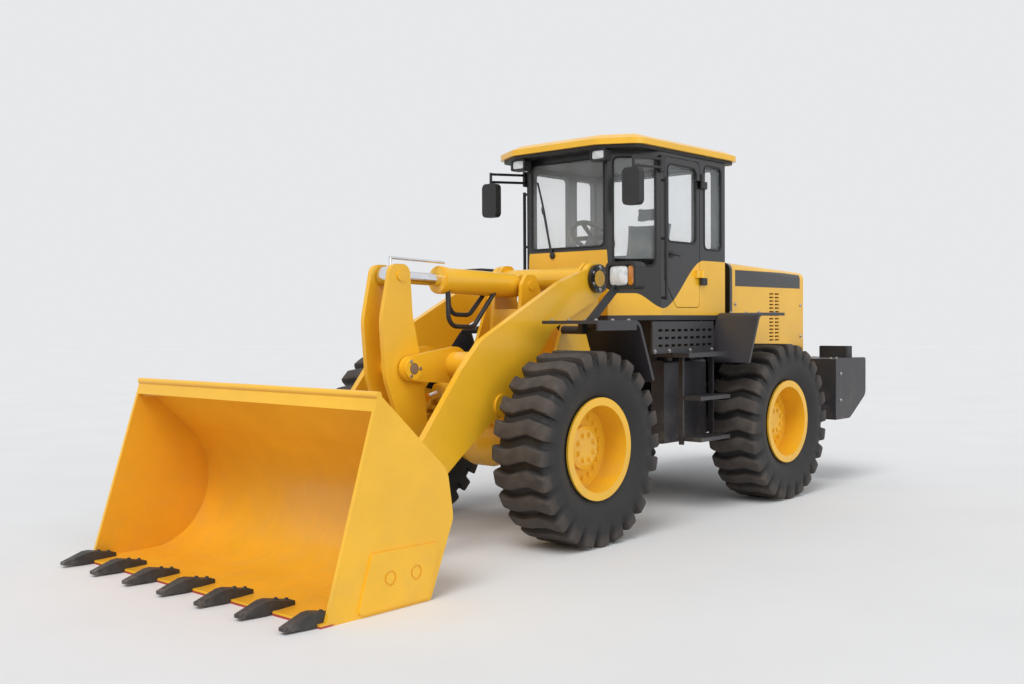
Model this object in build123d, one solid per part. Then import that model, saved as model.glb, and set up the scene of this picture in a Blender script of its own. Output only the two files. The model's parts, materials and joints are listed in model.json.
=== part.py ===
from build123d import *
import os
from math import atan2, cos, degrees, hypot, radians, sin, tan

# Articulated wheel loader. Millimetres, X forward from the articulation pin, Y left, Z up from the ground.

# Wheels and axles
WHEELBASE = 2700
TRACK = 1750
TYRE_DIAMETER = 1350
TYRE_WIDTH = 445
TREAD_DEPTH = 45
LUG_COUNT = 24
LUG_WIDTH = 100
LUG_WAVE = 25
BEAD_HEIGHT = 26
BEAD_SEAT_DIAMETER = 635
RIM_FLANGE_DIAMETER = 711
RIM_WIDTH = 360
RIM_WALL = 17
RIM_DISC_DEPTH = 180
RIM_DISC_THICKNESS = 26
HUB_DIAMETER = 300
HUB_COVER = 62
SPINDLE_DIAMETER = 140
AXLE_TUBE_DIAMETER = 210
AXLE_CASE_DIAMETER = 400
BRAKE_CASE_DIAMETER = 320

# Overall reach from the articulation pin
REAR_REACH = 2950
TOOTH_REACH = 4090

# Linkage pins at rest, as (x, z)
BOOM_PIVOT = (650, 1880)
BUCKET_HINGE = (2780, 330)
ROCKER_PIVOT = (2269, 1238)
TILT_BASE = (1020, 1830)
ROCKER_TOP = (2321, 1870)
ROCKER_FOOT = (2150, 680)
BUCKET_LINK = (2835, 600)
LIFT_BASE = (500, 1270)
LIFT_HEAD = (1730, 970)
CROSSBEAM = (1850, 1250)

# Steering pins on the left, as (x, y), and their height
STEER_BASE = (-650, 360)
STEER_HEAD = (320, 340)
STEER_Z = 800

# Pins and running clearances
RUN = 0.3
PIN_RADIUS = 35
PIN_CAP_RADIUS = 75
PIN_CAP = 24
CAP_GAP = 1
SMALL_PIN_RADIUS = 25
BOOM_PIN_RADIUS = 45
HINGE_PIN_RADIUS = 45

# Y layers of the working gear, inner and outer faces
EYE_HALF = 60
ROCKER_PLATE = (75, 110)
BEAM_EAR = (120, 160)
INNER_TOWER = (120, 155)
LIFT_CENTRE = 320
LIFT_EYE = (285, 355)
OUTER_TOWER = (405, 435)
BOOM_ARM = (445, 495)
BOOM_BOSS = (415, 525)
BUCKET_EAR_INNER = (375, 410)
BUCKET_EAR_OUTER = (530, 565)

# Cylinders
TILT_BARREL_RADIUS = 92
TILT_ROD_RADIUS = 45
TILT_BARREL_LENGTH = 850
LIFT_BARREL_RADIUS = 70
LIFT_ROD_RADIUS = 35
LIFT_BARREL_LENGTH = 1080
STEER_BARREL_RADIUS = 42
STEER_ROD_RADIUS = 22
STEER_BARREL_LENGTH = 640
STEER_EYE_HALF = 42
STEER_LUG = 25
BARREL_WALL = 12
GLAND = 60
COLLAR = 8
TILT_STROKE_OUT = 235
LIFT_STROKE_OUT = 735
STEER_STROKE_OUT = 210
LEVEL_BAR_RADIUS = 11
LEVEL_BAR_HEIGHT = 128
LEVEL_BAR_LENGTH = 520
HOSE_RADIUS = 17
HOSE_BEND = 90

# Bucket
BUCKET_WIDTH = 2460
BUCKET_LIP = (3500, 1180)
BUCKET_BACK_CENTRE = (3450, 480)
BUCKET_BACK_RADIUS = 480
BUCKET_EDGE_X = 3900
BUCKET_WALL = 22
BUCKET_SIDE_WALL = 24
BUCKET_WEAR = 12
BUCKET_GUSSET = 170
BUCKET_LIP_RADIUS = 20
PLUG_RADIUS = 42
TOOTH_COUNT = 7
TOOTH_WIDTH = 84

# Cab
CAB_FRONT_X = 390
CAB_FRONT_HALF = 410
CAB_POST_X = 70
CAB_HALF = 700
CAB_REAR_X = -900
CAB_FLOOR_Z = 1560
CAB_FLOOR_THICKNESS = 40
CAB_TOP_Z = 2900
CAB_WALL = 45
ROOF_THICKNESS = 110
ROOF_LINER = 25
ROOF_RIM = 45
ROOF_CROWN_INSET = 90
GLASS_THICKNESS = 8
SILL_Z = 2150
HEAD_DROP = 50
HEAD_Z = CAB_TOP_Z - HEAD_DROP
QUARTER_SILL_Z = 1990
PILLAR = 34
WINDOW_CORNER = 45
DOOR_FRONT_X = 30
DOOR_REAR_X = -500
DOOR_BOTTOM_Z = 1660
DOOR_CUT = (170, 230)
DOOR_CORNER = 50
DOOR_GAP = 6
DOOR_HINGE_OUT = 24
DOOR_PIN_RADIUS = 12
DOOR_KNUCKLE_RADIUS = 20
DOOR_KNUCKLE_HEIGHT = 60
DOOR_HINGE_HEIGHTS = (1850, HEAD_Z - 200)
DOOR_STRAP = 80

# Frames, hood and counterweight
RAIL = (260, 300)
RAIL_FRONT_X = -600
RAIL_BOTTOM_Z = 560
RAIL_TOP_Z = 960
HINGE_UPPER_Z = 1000
HINGE_LOWER_Z = 550
HINGE_PLATE = 50
HINGE_GAP = 5
HINGE_RADIUS = 130
DECK_Z = 890
TANK = (525, 650)
TANK_TOP_Z = 1230
STEP_Z = 1265
HOOD_HALF = 600
HOOD_FRONT_X = -1150
HOOD_REAR_X = -REAR_REACH + 420
HOOD_TOP_Z = 2070
HOOD_WALL = 30
SLOT_COLUMNS = (-1900, -2005)
SLOT_ROWS = 14
SLOT_PITCH = 33
SLOT_SIZE = (78, 14)
SLOT_BOTTOM_Z = 1365
COUNTERWEIGHT_HALF = 1050
COUNTERWEIGHT_FRONT_X = -REAR_REACH + 650
COUNTERWEIGHT_BOTTOM_Z = 620
COUNTERWEIGHT_TOP_Z = 1190
TOW_PIN = (-REAR_REACH + 90, 0)
TOW_BORE_Z = 800
LIFTING_EYE = (-REAR_REACH + 300, 850)
LIFTING_EYE_RADIUS = 18
LIFTING_EYE_DEPTH = 120

AXLE_Z = TYRE_DIAMETER / 2
FRONT_AXLE_X = WHEELBASE / 2
REAR_AXLE_X = -WHEELBASE / 2
ORIGIN_SHIFT = (REAR_REACH - TOOTH_REACH) / 2


def box(x_span, y_span, z_span):
    """A block from three (low, high) spans."""
    size = [high - low for low, high in (x_span, y_span, z_span)]
    centre = [(low + high) / 2 for low, high in (x_span, y_span, z_span)]
    return Pos(*centre) * Box(*size)


def side_plate(outline, y_span, corner=0):
    """A plate with an (x, z) outline between two Y planes, its corners rounded in outline."""
    sketch = make_face(Polyline(*outline, close=True))
    if corner:
        sketch = fillet(sketch.vertices(), corner)
    low, high = y_span
    return extrude(Plane.XZ.offset(-high) * sketch, high - low)


def face_of(corners):
    """A flat face from (x, z, corner radius) points."""
    face = make_face(Polyline(*[(x, z) for x, z, _ in corners], close=True))
    for x, z, radius in corners:
        if radius:
            face = fillet(face.vertices().sort_by_distance((x, z, 0))[:1], radius)
    return face


def shaped_plate(corners, y_span):
    """A plate whose (x, z) outline has a radius of its own at each corner."""
    low, high = y_span
    return extrude(Plane.XZ.offset(-high) * face_of(corners), high - low)


def rounded_box(x_span, y_span, z_span, axis, radius):
    """A block with the edges along one axis rounded."""
    return fillet(box(x_span, y_span, z_span).edges().filter_by(axis), radius)


def plan_plate(outline, z_span, corner=0):
    """A plate with an (x, y) outline between two heights."""
    sketch = make_face(Polyline(*outline, close=True))
    if corner:
        sketch = fillet(sketch.vertices(), corner)
    low, high = z_span
    return Pos(0, 0, low) * extrude(sketch, high - low)


def rod_y(pin, radius, y_span):
    """A round bar along Y through an (x, z) pin."""
    low, high = y_span
    return Pos(pin[0], (low + high) / 2, pin[1]) * Rot(90, 0, 0) * Cylinder(radius, high - low)


def rod_z(point, radius, z_span):
    """A round bar along Z through an (x, y) point."""
    low, high = z_span
    return Pos(point[0], point[1], (low + high) / 2) * Cylinder(radius, high - low)


def rod_x(y, z, radius, x_span):
    """A round bar along X."""
    low, high = x_span
    return Pos((low + high) / 2, y, z) * Rot(0, 90, 0) * Cylinder(radius, high - low)


def bar(start, end, radius):
    """A round bar between two points in space."""
    start, end = Vector(*start), Vector(*end)
    path = Plane(origin=start, z_dir=end - start)
    return extrude(path * Circle(radius), (end - start).length)


def both(shape):
    """A piece and its mirror image across the centre plane."""
    return Part() + [shape, mirror(shape, about=Plane.XZ)]


def mirrored(shape):
    """The same piece on the right-hand side."""
    return mirror(shape, about=Plane.XZ)


def strap(first, second, radius_first, radius_second, y_span):
    """A plate with round ends about two (x, z) points and straight tangents between them."""
    first_end = Pos(*first) * Circle(radius_first)
    second_end = Pos(*second) * Circle(radius_second)
    outline = make_hull(first_end.edges() + second_end.edges())
    low, high = y_span
    return extrude(Plane.XZ.offset(-high) * outline, high - low)


def turn_profile(points):
    """A turned solid about the Y axis from (radius, y) points."""
    profile = Plane.XZ * make_face(Polyline(*points, close=True))
    return Rot(-90, 0, 0) * revolve(profile, Axis.Z)


# Wheels

def tyre():
    """A tyre at the origin, its outer side towards +Y, with wavy lugs across the tread, one on each flat."""
    outer = TYRE_DIAMETER / 2
    base = outer - TREAD_DEPTH
    half = TYRE_WIDTH / 2
    shoulder = half * 0.8
    bulge = (half - 6, outer * 0.74)
    bead = (RIM_WIDTH / 2 - 22, BEAD_SEAT_DIAMETER / 2 + BEAD_HEIGHT)
    seat = (bead[0], BEAD_SEAT_DIAMETER / 2 + RUN)
    side = [seat, bead, bulge, (shoulder, base)]
    carcass = faceted_ring([(-y, radius) for y, radius in side] + side[::-1])
    wave = [(-half, LUG_WAVE / 2), (-half * 0.5, -LUG_WAVE), (half * 0.3, LUG_WAVE), (half, -LUG_WAVE / 2)]
    near = [(y, shift - LUG_WIDTH / 2) for y, shift in wave]
    far = [(y, shift + LUG_WIDTH / 2) for y, shift in reversed(wave)]
    root = outer * 0.84
    lug_plane = Plane(origin=(root, 0, 0), x_dir=(0, 0, 1), z_dir=(1, 0, 0))
    lug = extrude(lug_plane * make_face(Polyline(*near, *far, close=True)), outer - root)
    lugs = [Rot(0, 0, 360 / LUG_COUNT * index) * lug for index in range(LUG_COUNT)]
    return Rot(-90, 0, 0) * (Part() + carcass + lugs)


def faceted_ring(section):
    """A ring about Z with one flat for each lug, from a closed section of (height, radius) points."""
    half_turn = radians(180 / LUG_COUNT)
    faces = []
    for (low, first), (high, last) in zip(section, section[1:] + section[:1]):
        corners = [(low, first, -1), (low, first, 1), (high, last, 1), (high, last, -1)]
        points = [(radius, side * radius * tan(half_turn), height) for height, radius, side in corners]
        flat = make_face(Polyline(*points, close=True)).face()
        faces += [Rot(0, 0, 360 / LUG_COUNT * index) * flat for index in range(LUG_COUNT)]
    return Solid(Shell(faces))


def rim():
    """A deep-dish rim with its hub, outer side towards +Y."""
    seat = BEAD_SEAT_DIAMETER / 2
    flange = RIM_FLANGE_DIAMETER / 2
    half = RIM_WIDTH / 2
    well = seat - RIM_WALL
    face = half - RIM_DISC_DEPTH
    back = face - RIM_DISC_THICKNESS
    hub = HUB_DIAMETER / 2
    bore = SPINDLE_DIAMETER / 2 + RUN
    hub_back = -RIM_WIDTH / 3
    points = [
        (flange, half + 8), (well, half + 8), (well, face), (hub, face), (hub, face + HUB_COVER - 14),
        (hub - 30, face + HUB_COVER), (0, face + HUB_COVER), (0, back), (bore, back), (bore, hub_back),
        (hub, hub_back), (hub, back), (well, back), (well, -half - 8), (flange, -half - 8),
        (flange, -half + 8),
        (seat, -half + 14), (seat, half - 14), (flange, half - 8),
    ]
    return turn_profile(points)


def wheel_places():
    """Each wheel's name with its axle position and side."""
    return {
        "front_left": (FRONT_AXLE_X, 1), "front_right": (FRONT_AXLE_X, -1),
        "rear_left": (REAR_AXLE_X, 1), "rear_right": (REAR_AXLE_X, -1),
    }


def on_wheel(shape, x, side):
    """Place a wheel piece made for the left side."""
    placed = Pos(x, TRACK / 2, AXLE_Z) * shape
    return placed if side > 0 else mirrored(placed)


def axle(x, nose):
    """A drive axle with its case, brake housings and spindles; nose is the side of the input flange."""
    face = RIM_WIDTH / 2 - RIM_DISC_DEPTH
    spindle_end = TRACK / 2 + face - RIM_DISC_THICKNESS - 2
    hub_back = TRACK / 2 - RIM_WIDTH / 3
    tube, case, arm = AXLE_TUBE_DIAMETER / 2, AXLE_CASE_DIAMETER / 2, 600
    half = [(0, arm), (tube, arm), (tube, 360), (case * 0.86, 170), (case, 80)]
    housing = Pos(x, 0, AXLE_Z) * turn_profile(half + [(radius, -y) for radius, y in reversed(half)])
    brake = rod_y((x, AXLE_Z), BRAKE_CASE_DIAMETER / 2, (arm, hub_back - 4))
    spindle = rod_y((x, AXLE_Z), SPINDLE_DIAMETER / 2, (arm, spindle_end))
    neck = rod_x(0, AXLE_Z, 95, (min(x, x + nose * 300), max(x, x + nose * 300)))
    pad = box((x - 120, x + 120), (RAIL[0] - 130, OUTER_TOWER[1]), (AXLE_Z, DECK_Z))
    return housing + neck + both(brake + spindle) + both(pad)


# Cylinders

def cylinder_pair(base, head, barrel_radius, rod_radius, barrel_length, stroke, eye_half, base_pin, head_pin):
    """A barrel and a rod along +X from the base eye at the origin to the head eye."""
    length = hypot(head[0] - base[0], head[1] - base[1])
    eye = barrel_radius * 0.9
    start = eye * 0.6
    barrel = rod_x(0, 0, barrel_radius, (start, barrel_length))
    barrel += rod_x(0, 0, barrel_radius + COLLAR, (barrel_length - GLAND, barrel_length - 10))
    barrel -= rod_x(0, 0, barrel_radius - BARREL_WALL, (start + GLAND, barrel_length - GLAND))
    barrel -= rod_x(0, 0, rod_radius + RUN, (start + GLAND, barrel_length))
    barrel += rod_y((0, 0), eye, (-eye_half, eye_half))
    barrel -= rod_y((0, 0), base_pin + RUN, (-2 * eye_half, 2 * eye_half))
    inner_end = barrel_length - 2 * GLAND - stroke
    rod = rod_x(0, 0, rod_radius, (inner_end, length))
    rod += rod_y((length, 0), head_pin * 1.9, (-eye_half, eye_half))
    return barrel, rod


def aim(shape, base, head, y):
    """Turn a cylinder made along +X to run from one (x, z) pin to another at a Y place."""
    slope = degrees(atan2(head[1] - base[1], head[0] - base[0]))
    return Pos(base[0], y, base[1]) * Rot(0, -slope, 0) * shape


def tilt_cylinder():
    """The tilt barrel, its rod with the level bar above it, and the hoses looped below the barrel."""
    barrel, rod = cylinder_pair(
        TILT_BASE, ROCKER_TOP, TILT_BARREL_RADIUS, TILT_ROD_RADIUS, TILT_BARREL_LENGTH, TILT_STROKE_OUT,
        EYE_HALF,
        PIN_RADIUS, PIN_RADIUS)
    length = hypot(ROCKER_TOP[0] - TILT_BASE[0], ROCKER_TOP[1] - TILT_BASE[1])
    rod += rod_z((length, 0), LEVEL_BAR_RADIUS, (0, LEVEL_BAR_HEIGHT))
    rod += rod_x(0, LEVEL_BAR_HEIGHT, LEVEL_BAR_RADIUS,
        (length - LEVEL_BAR_LENGTH, length + LEVEL_BAR_RADIUS))
    outside = rod_x(0, 0, TILT_BARREL_RADIUS, (0, TILT_BARREL_LENGTH))
    outside += rod_x(0, 0, TILT_BARREL_RADIUS + COLLAR, (TILT_BARREL_LENGTH - GLAND, TILT_BARREL_LENGTH - 10))
    hoses = hose(45, 0.93, 330) + hose(-45, 0.82, 240) - outside
    return [aim(piece, TILT_BASE, ROCKER_TOP, 0) for piece in (barrel, rod, hoses)]


def hose(y, reach, sag):
    """A hose that hangs in a loop from the gland end of the tilt barrel to its base end."""
    front, back = reach * TILT_BARREL_LENGTH, 0.28 * TILT_BARREL_LENGTH
    low = (front + back) / 2
    route = FilletPolyline((front, y, 0), (front - 20, y, -sag), (low, y, -sag), (back, y, 0),
        radius=HOSE_BEND)
    return sweep(Plane(origin=route @ 0, z_dir=route % 0) * Circle(HOSE_RADIUS), route)


def lift_cylinder():
    """The left lift barrel and its rod."""
    half = (LIFT_EYE[1] - LIFT_EYE[0]) / 2
    pair = cylinder_pair(
        LIFT_BASE, LIFT_HEAD, LIFT_BARREL_RADIUS, LIFT_ROD_RADIUS, LIFT_BARREL_LENGTH, LIFT_STROKE_OUT, half,
        PIN_RADIUS, PIN_RADIUS)
    return [aim(piece, LIFT_BASE, LIFT_HEAD, LIFT_CENTRE) for piece in pair]


def steer_cylinder():
    """The left steering barrel and its rod, with upright pins."""
    pair = cylinder_pair(
        STEER_BASE, STEER_HEAD, STEER_BARREL_RADIUS, STEER_ROD_RADIUS, STEER_BARREL_LENGTH, STEER_STROKE_OUT,
        STEER_EYE_HALF, SMALL_PIN_RADIUS, SMALL_PIN_RADIUS)
    slope = degrees(atan2(STEER_HEAD[1] - STEER_BASE[1], STEER_HEAD[0] - STEER_BASE[0]))
    place = Pos(STEER_BASE[0], STEER_BASE[1], STEER_Z) * Rot(0, 0, slope) * Rot(90, 0, 0)
    return [place * piece for piece in pair]


# Boom and linkage

def boom_arms():
    """Two boom arms with their bosses."""
    outline = [
        (600, 2000, 100), (1075, 1850, 300), (1930, 1430, 300), (2130, 1230, 250), (2480, 800, 500),
        (2880, 390, 60),
        (2690, 230, 60), (2150, 640, 400), (1840, 860, 120), (1690, 905, 80), (1400, 1240, 300),
        (1160, 1500, 250),
        (560, 1760, 100),
    ]
    arm = shaped_plate(outline, BOOM_ARM)
    arm += rod_y(BOOM_PIVOT, 130, BOOM_ARM)
    arm += rod_y(BUCKET_HINGE, 115, BOOM_BOSS)
    arm += rod_y(LIFT_HEAD, 80, (LIFT_EYE[1] + 10, BOOM_ARM[1] + 15))
    arm += rod_y(LIFT_HEAD, PIN_RADIUS, (BOOM_ARM[1], BOOM_ARM[1] + 25))
    arm -= rod_y(BOOM_PIVOT, BOOM_PIN_RADIUS + RUN, (0, 2 * BOOM_ARM[1]))
    arm -= rod_y(BUCKET_HINGE, PIN_RADIUS + RUN, (0, 2 * BOOM_ARM[1]))
    return both(arm)


def boom_crossbeam():
    """The tube between the boom arms with the ears that carry the rocker."""
    ear = strap(CROSSBEAM, ROCKER_PIVOT, 130, 85, BEAM_EAR)
    ear -= rod_y(ROCKER_PIVOT, PIN_RADIUS + RUN, (0, BOOM_ARM[0]))
    beam = rod_y(CROSSBEAM, 95, (-BOOM_ARM[0], BOOM_ARM[0]))
    return both(ear) + beam


def rocker():
    """Two wide curved rocker plates with a spacer at the pivot."""
    top_x, top_z = ROCKER_TOP
    foot_x, foot_z = ROCKER_FOOT
    mid_x, mid_z = ROCKER_PIVOT
    outline = [
        (top_x + 85, top_z + 80, 70), (top_x + 170, mid_z + 330, 400), (mid_x + 190, mid_z - 60, 260),
        (foot_x + 90, foot_z - 60, 60), (foot_x - 75, foot_z - 75, 60), (foot_x - 85, foot_z + 90, 120),
        (mid_x - 140, mid_z + 20, 260), (top_x - 110, mid_z + 360, 300), (top_x - 85, top_z + 80, 70),
    ]
    body = both(shaped_plate(outline, ROCKER_PLATE))
    body += rod_y(ROCKER_PIVOT, 80, (-ROCKER_PLATE[0], ROCKER_PLATE[0]))
    for pin in (ROCKER_TOP, ROCKER_FOOT):
        body += both(rod_y(pin, PIN_RADIUS, (ROCKER_PLATE[1], ROCKER_PLATE[1] + 12)))
    return body - rod_y(ROCKER_PIVOT, PIN_RADIUS + RUN, (-BOOM_ARM[0], BOOM_ARM[0]))


def link():
    """The bucket link, a bar with an eye at each end."""
    bar_plate = strap(ROCKER_FOOT, BUCKET_LINK, 52, 52, (-EYE_HALF + 20, EYE_HALF - 20))
    body = bar_plate
    for pin in (ROCKER_FOOT, BUCKET_LINK):
        body += rod_y(pin, 66, (-EYE_HALF, EYE_HALF))
    return body - rod_y(BUCKET_LINK, PIN_RADIUS + RUN, (-2 * EYE_HALF, 2 * EYE_HALF))


def capped_pin(pin, y_span):
    """A pin through a pair of ears, with a cap over each end."""
    low, high = y_span[0] - CAP_GAP, y_span[1] + CAP_GAP
    caps = rod_y(pin, PIN_CAP_RADIUS, (low - PIN_CAP, low))
    caps += rod_y(pin, PIN_CAP_RADIUS, (high, high + PIN_CAP))
    return rod_y(pin, PIN_RADIUS, (low - PIN_CAP, high + PIN_CAP)) + caps


def bucket_pins():
    """The two pins that carry the bucket on the boom."""
    return both(capped_pin(BUCKET_HINGE, (BUCKET_EAR_INNER[0], BUCKET_EAR_OUTER[1])))


def rocker_pin():
    """The pin that carries the rocker on the crossbeam's ears."""
    return capped_pin(ROCKER_PIVOT, (-BEAM_EAR[1], BEAM_EAR[1]))


def link_pin():
    """The pin that carries the link between the bucket's middle ears."""
    return capped_pin(BUCKET_LINK, (-ROCKER_PLATE[1], ROCKER_PLATE[1]))


def bucket_side_face(inset):
    """A face of the bucket's section: floor, round back and upper back, closed across the mouth."""
    radius = BUCKET_BACK_RADIUS - inset
    cx, cz = BUCKET_BACK_CENTRE
    upper = radians(128)
    top = (cx + radius * cos(upper), cz + radius * sin(upper))
    middle = (cx + radius * cos(radians(195)), cz + radius * sin(radians(195)))
    bottom = (cx, cz - radius)
    lip = (BUCKET_LIP[0], BUCKET_LIP[1] - inset)
    edge = (BUCKET_EDGE_X, inset)
    line = [
        Polyline(lip, top), ThreePointArc(top, middle, bottom), Polyline(bottom, edge), Polyline(edge, lip),
    ]
    return make_face(line)


def bucket_mouth_line():
    """The side plates' front edge, from the lip down to the cutting edge."""
    return (BUCKET_LIP[0] - 4, BUCKET_LIP[1]), (BUCKET_EDGE_X - 40, BUCKET_WALL)


def bucket():
    """The bucket shell with its lip, side plates, corner gussets, wear plates and ears."""
    half = BUCKET_WIDTH / 2 - BUCKET_WEAR
    inner_half = half - BUCKET_SIDE_WALL
    shell = extrude(Plane.XZ.offset(-half) * bucket_side_face(0), 2 * half)
    hollow = extrude(Plane.XZ.offset(-half - 1) * bucket_side_face(BUCKET_WALL), 2 * half + 2)
    upper, lower = bucket_mouth_line()
    beyond = BUCKET_EDGE_X + 200
    mouth = side_plate(
        [(upper[0], upper[1] + 60), upper, lower, (beyond, BUCKET_WALL), (beyond, upper[1] + 60)],
        (-half - 1, half + 1))
    back_x = BUCKET_BACK_CENTRE[0] - BUCKET_BACK_RADIUS
    side = shaped_plate(
        [(*BUCKET_LIP, 0), (back_x + 15, 715, 140), (back_x - 30, 440, 140), (back_x + 155, 0, 20),
        (BUCKET_EDGE_X, 0, 0),
         (BUCKET_EDGE_X, BUCKET_WALL, 0), (*lower, 0), (*upper, 0)], (inner_half, half))
    wear = shaped_plate(
        [(back_x + 90, 320, 20), (back_x + 590, 330, 20), (back_x + 690, 20, 20), (back_x + 180, 20, 20)],
        (half, half + BUCKET_WEAR))
    for shift in (275, 465):
        wear -= rod_y((back_x + shift, 180), PLUG_RADIUS, (half + BUCKET_WEAR / 2, half + 2 * BUCKET_WEAR))
        wear += rod_y((back_x + shift, 180), PLUG_RADIUS * 0.7, (half, half + BUCKET_WEAR))
    body = shell - hollow - mouth + both(side) + both(wear)
    body += rod_y((BUCKET_LIP[0] - 4, BUCKET_LIP[1] - 14), BUCKET_LIP_RADIUS, (-half, half))
    return body + both(bucket_gusset(inner_half)) + both(bucket_ears(half))


def bucket_gusset(inner_half):
    """A flat triangle across an upper inside corner."""
    low = BUCKET_LIP[1] - 120
    corner = [(BUCKET_LIP[0] - 170, inner_half), (BUCKET_LIP[0] - 10, inner_half),
              (BUCKET_LIP[0] - 170, inner_half - BUCKET_GUSSET)]
    trim = extrude(Plane.XZ.offset(-BUCKET_WIDTH) * bucket_side_face(BUCKET_WALL), 2 * BUCKET_WIDTH)
    return plan_plate(corner, (low, low + 16)) & trim


def bucket_ears(half):
    """The hinge ears and the middle link ear of the left side, cut to the round back."""
    back_reach = BUCKET_BACK_CENTRE[0] - BUCKET_BACK_RADIUS + 60
    ears = Part()
    for layer in (BUCKET_EAR_INNER, BUCKET_EAR_OUTER):
        ear = strap(BUCKET_HINGE, (back_reach + 60, 300), 105, 190, layer)
        ears += ear - rod_y(BUCKET_HINGE, PIN_RADIUS + RUN, (0, half))
    middle = strap(BUCKET_LINK, (back_reach + 120, 660), 85, 150, ROCKER_PLATE)
    ears += middle - rod_y(BUCKET_LINK, PIN_RADIUS + RUN, (0, half))
    return ears - extrude(Plane.XZ.offset(-half) * bucket_side_face(BUCKET_WALL / 2), 2 * half)


def bucket_teeth():
    """Tapered teeth on the cutting edge, seated on the floor plate's front edge."""
    back = BUCKET_EDGE_X - 166
    half = TOOTH_WIDTH / 2
    side = side_plate(
        [(TOOTH_REACH, 16), (TOOTH_REACH, 34), (BUCKET_EDGE_X + 40, 78), (BUCKET_EDGE_X, 80),
         (back, BUCKET_WALL + 24), (back, BUCKET_WALL), (BUCKET_EDGE_X, BUCKET_WALL), (BUCKET_EDGE_X, 2)],
         (-half, half))
    plan = plan_plate(
        [(back, -half * 0.6), (BUCKET_EDGE_X - 60, -half), (BUCKET_EDGE_X + 40, -half),
        (TOOTH_REACH, -half * 0.6),
         (TOOTH_REACH, half * 0.6), (BUCKET_EDGE_X + 40, half), (BUCKET_EDGE_X - 60, half),
         (back, half * 0.6)], (0, 100))
    tooth = side & plan
    inner = BUCKET_WIDTH - 2 * BUCKET_WEAR - 2 * BUCKET_SIDE_WALL
    pitch = (inner - TOOTH_WIDTH) / (TOOTH_COUNT - 1)
    first = -(TOOTH_COUNT - 1) / 2 * pitch
    return Part() + [Pos(0, first + pitch * index, 0) * tooth for index in range(TOOTH_COUNT)]


# Front frame

def front_frame():
    """The front frame: hinge tongues, deck, tower plates, pins and cross tube."""
    low_tongue = (HINGE_LOWER_Z + HINGE_GAP, HINGE_LOWER_Z + HINGE_GAP + HINGE_PLATE)
    high_tongue = (HINGE_UPPER_Z - HINGE_GAP - HINGE_PLATE, HINGE_UPPER_Z - HINGE_GAP)
    tongue_outline = [(0, -HINGE_RADIUS), (330, -OUTER_TOWER[0]), (500, -OUTER_TOWER[0]),
        (500, OUTER_TOWER[0]),
                      (330, OUTER_TOWER[0]), (0, HINGE_RADIUS)]
    body = Part()
    for tongue in (low_tongue, high_tongue):
        plate = plan_plate(tongue_outline, tongue) + rod_z((0, 0), HINGE_RADIUS, tongue)
        body += plate - rod_z((0, 0), HINGE_PIN_RADIUS + RUN, tongue)
    outer = [
        (450, 550, 25), (900, 550, 25), (1130, DECK_Z, 25), (1600, DECK_Z, 20), (1570, DECK_Z + 90, 25),
        (1280, DECK_Z + 170, 150), (1060, 1330, 200), (900, 1700, 200), (790, 1930, 60), (700, 2010, 60),
        (600, 2010, 60), (540, 1900, 60), (560, 1500, 100), (430, 1330, 60), (420, 1230, 60), (450, 1100, 60),
    ]
    outer_plate = shaped_plate(outer, OUTER_TOWER)
    inner = [
        (330, 560, 25), (900, 560, 25), (1130, DECK_Z, 25), (1540, DECK_Z, 20), (1500, DECK_Z + 70, 20),
        (1190, DECK_Z + 150, 120), (1120, 1840, 25), (1070, 1910, 25), (970, 1910, 40), (860, 1700, 150),
        (560, 1300, 150), (330, 1000, 25),
    ]
    inner_plate = shaped_plate(inner, INNER_TOWER)
    lift_bracket = strap(LIFT_BASE, (LIFT_BASE[0] + 60, LIFT_BASE[1] - 260), 75, 90, (205, 240))
    deck = box((900, 1540), (-OUTER_TOWER[0], OUTER_TOWER[0]), (DECK_Z, DECK_Z + 30))
    shelf = box((450, 640), (-OUTER_TOWER[0], OUTER_TOWER[0]),
        (HINGE_UPPER_Z - HINGE_GAP, HINGE_UPPER_Z + 60))
    web = box((1110, 1140), (-INNER_TOWER[0], INNER_TOWER[0]), (DECK_Z + 30, 1650))
    body += both(outer_plate) + both(inner_plate) + both(lift_bracket) + deck + shelf + web
    body += rod_y(BOOM_PIVOT, 95, (-OUTER_TOWER[0], OUTER_TOWER[0]))
    body += both(rod_y(BOOM_PIVOT, BOOM_PIN_RADIUS, (OUTER_TOWER[0], BOOM_ARM[1] + 30)))
    body += both(rod_y(BOOM_PIVOT, 110, (BOOM_ARM[1] + 6, BOOM_ARM[1] + 36)))
    body += both(rod_y(LIFT_BASE, PIN_RADIUS, (205, OUTER_TOWER[1] + 8)))
    body += rod_y(TILT_BASE, PIN_RADIUS, (-INNER_TOWER[1] - 8, INNER_TOWER[1] + 8))
    steer = Part()
    for low in (STEER_Z - STEER_EYE_HALF - 5 - STEER_LUG, STEER_Z + STEER_EYE_HALF + 5):
        steer += plan_plate(
            [(250, INNER_TOWER[0]), (480, INNER_TOWER[0]), (400, 395), (250, 395)], (low, low + STEER_LUG),
            20)
    steer_top = STEER_Z + STEER_EYE_HALF + 5 + STEER_LUG
    steer += rod_z(STEER_HEAD, SMALL_PIN_RADIUS, (steer_top, steer_top + 10))
    return body + both(steer)


def front_shaft():
    """The front drive shaft from near the articulation pin to the front axle's input."""
    return rod_x(0, AXLE_Z, 42, (64, FRONT_AXLE_X - 300)) + rod_x(0, AXLE_Z, 70, (64, 110))


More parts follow.
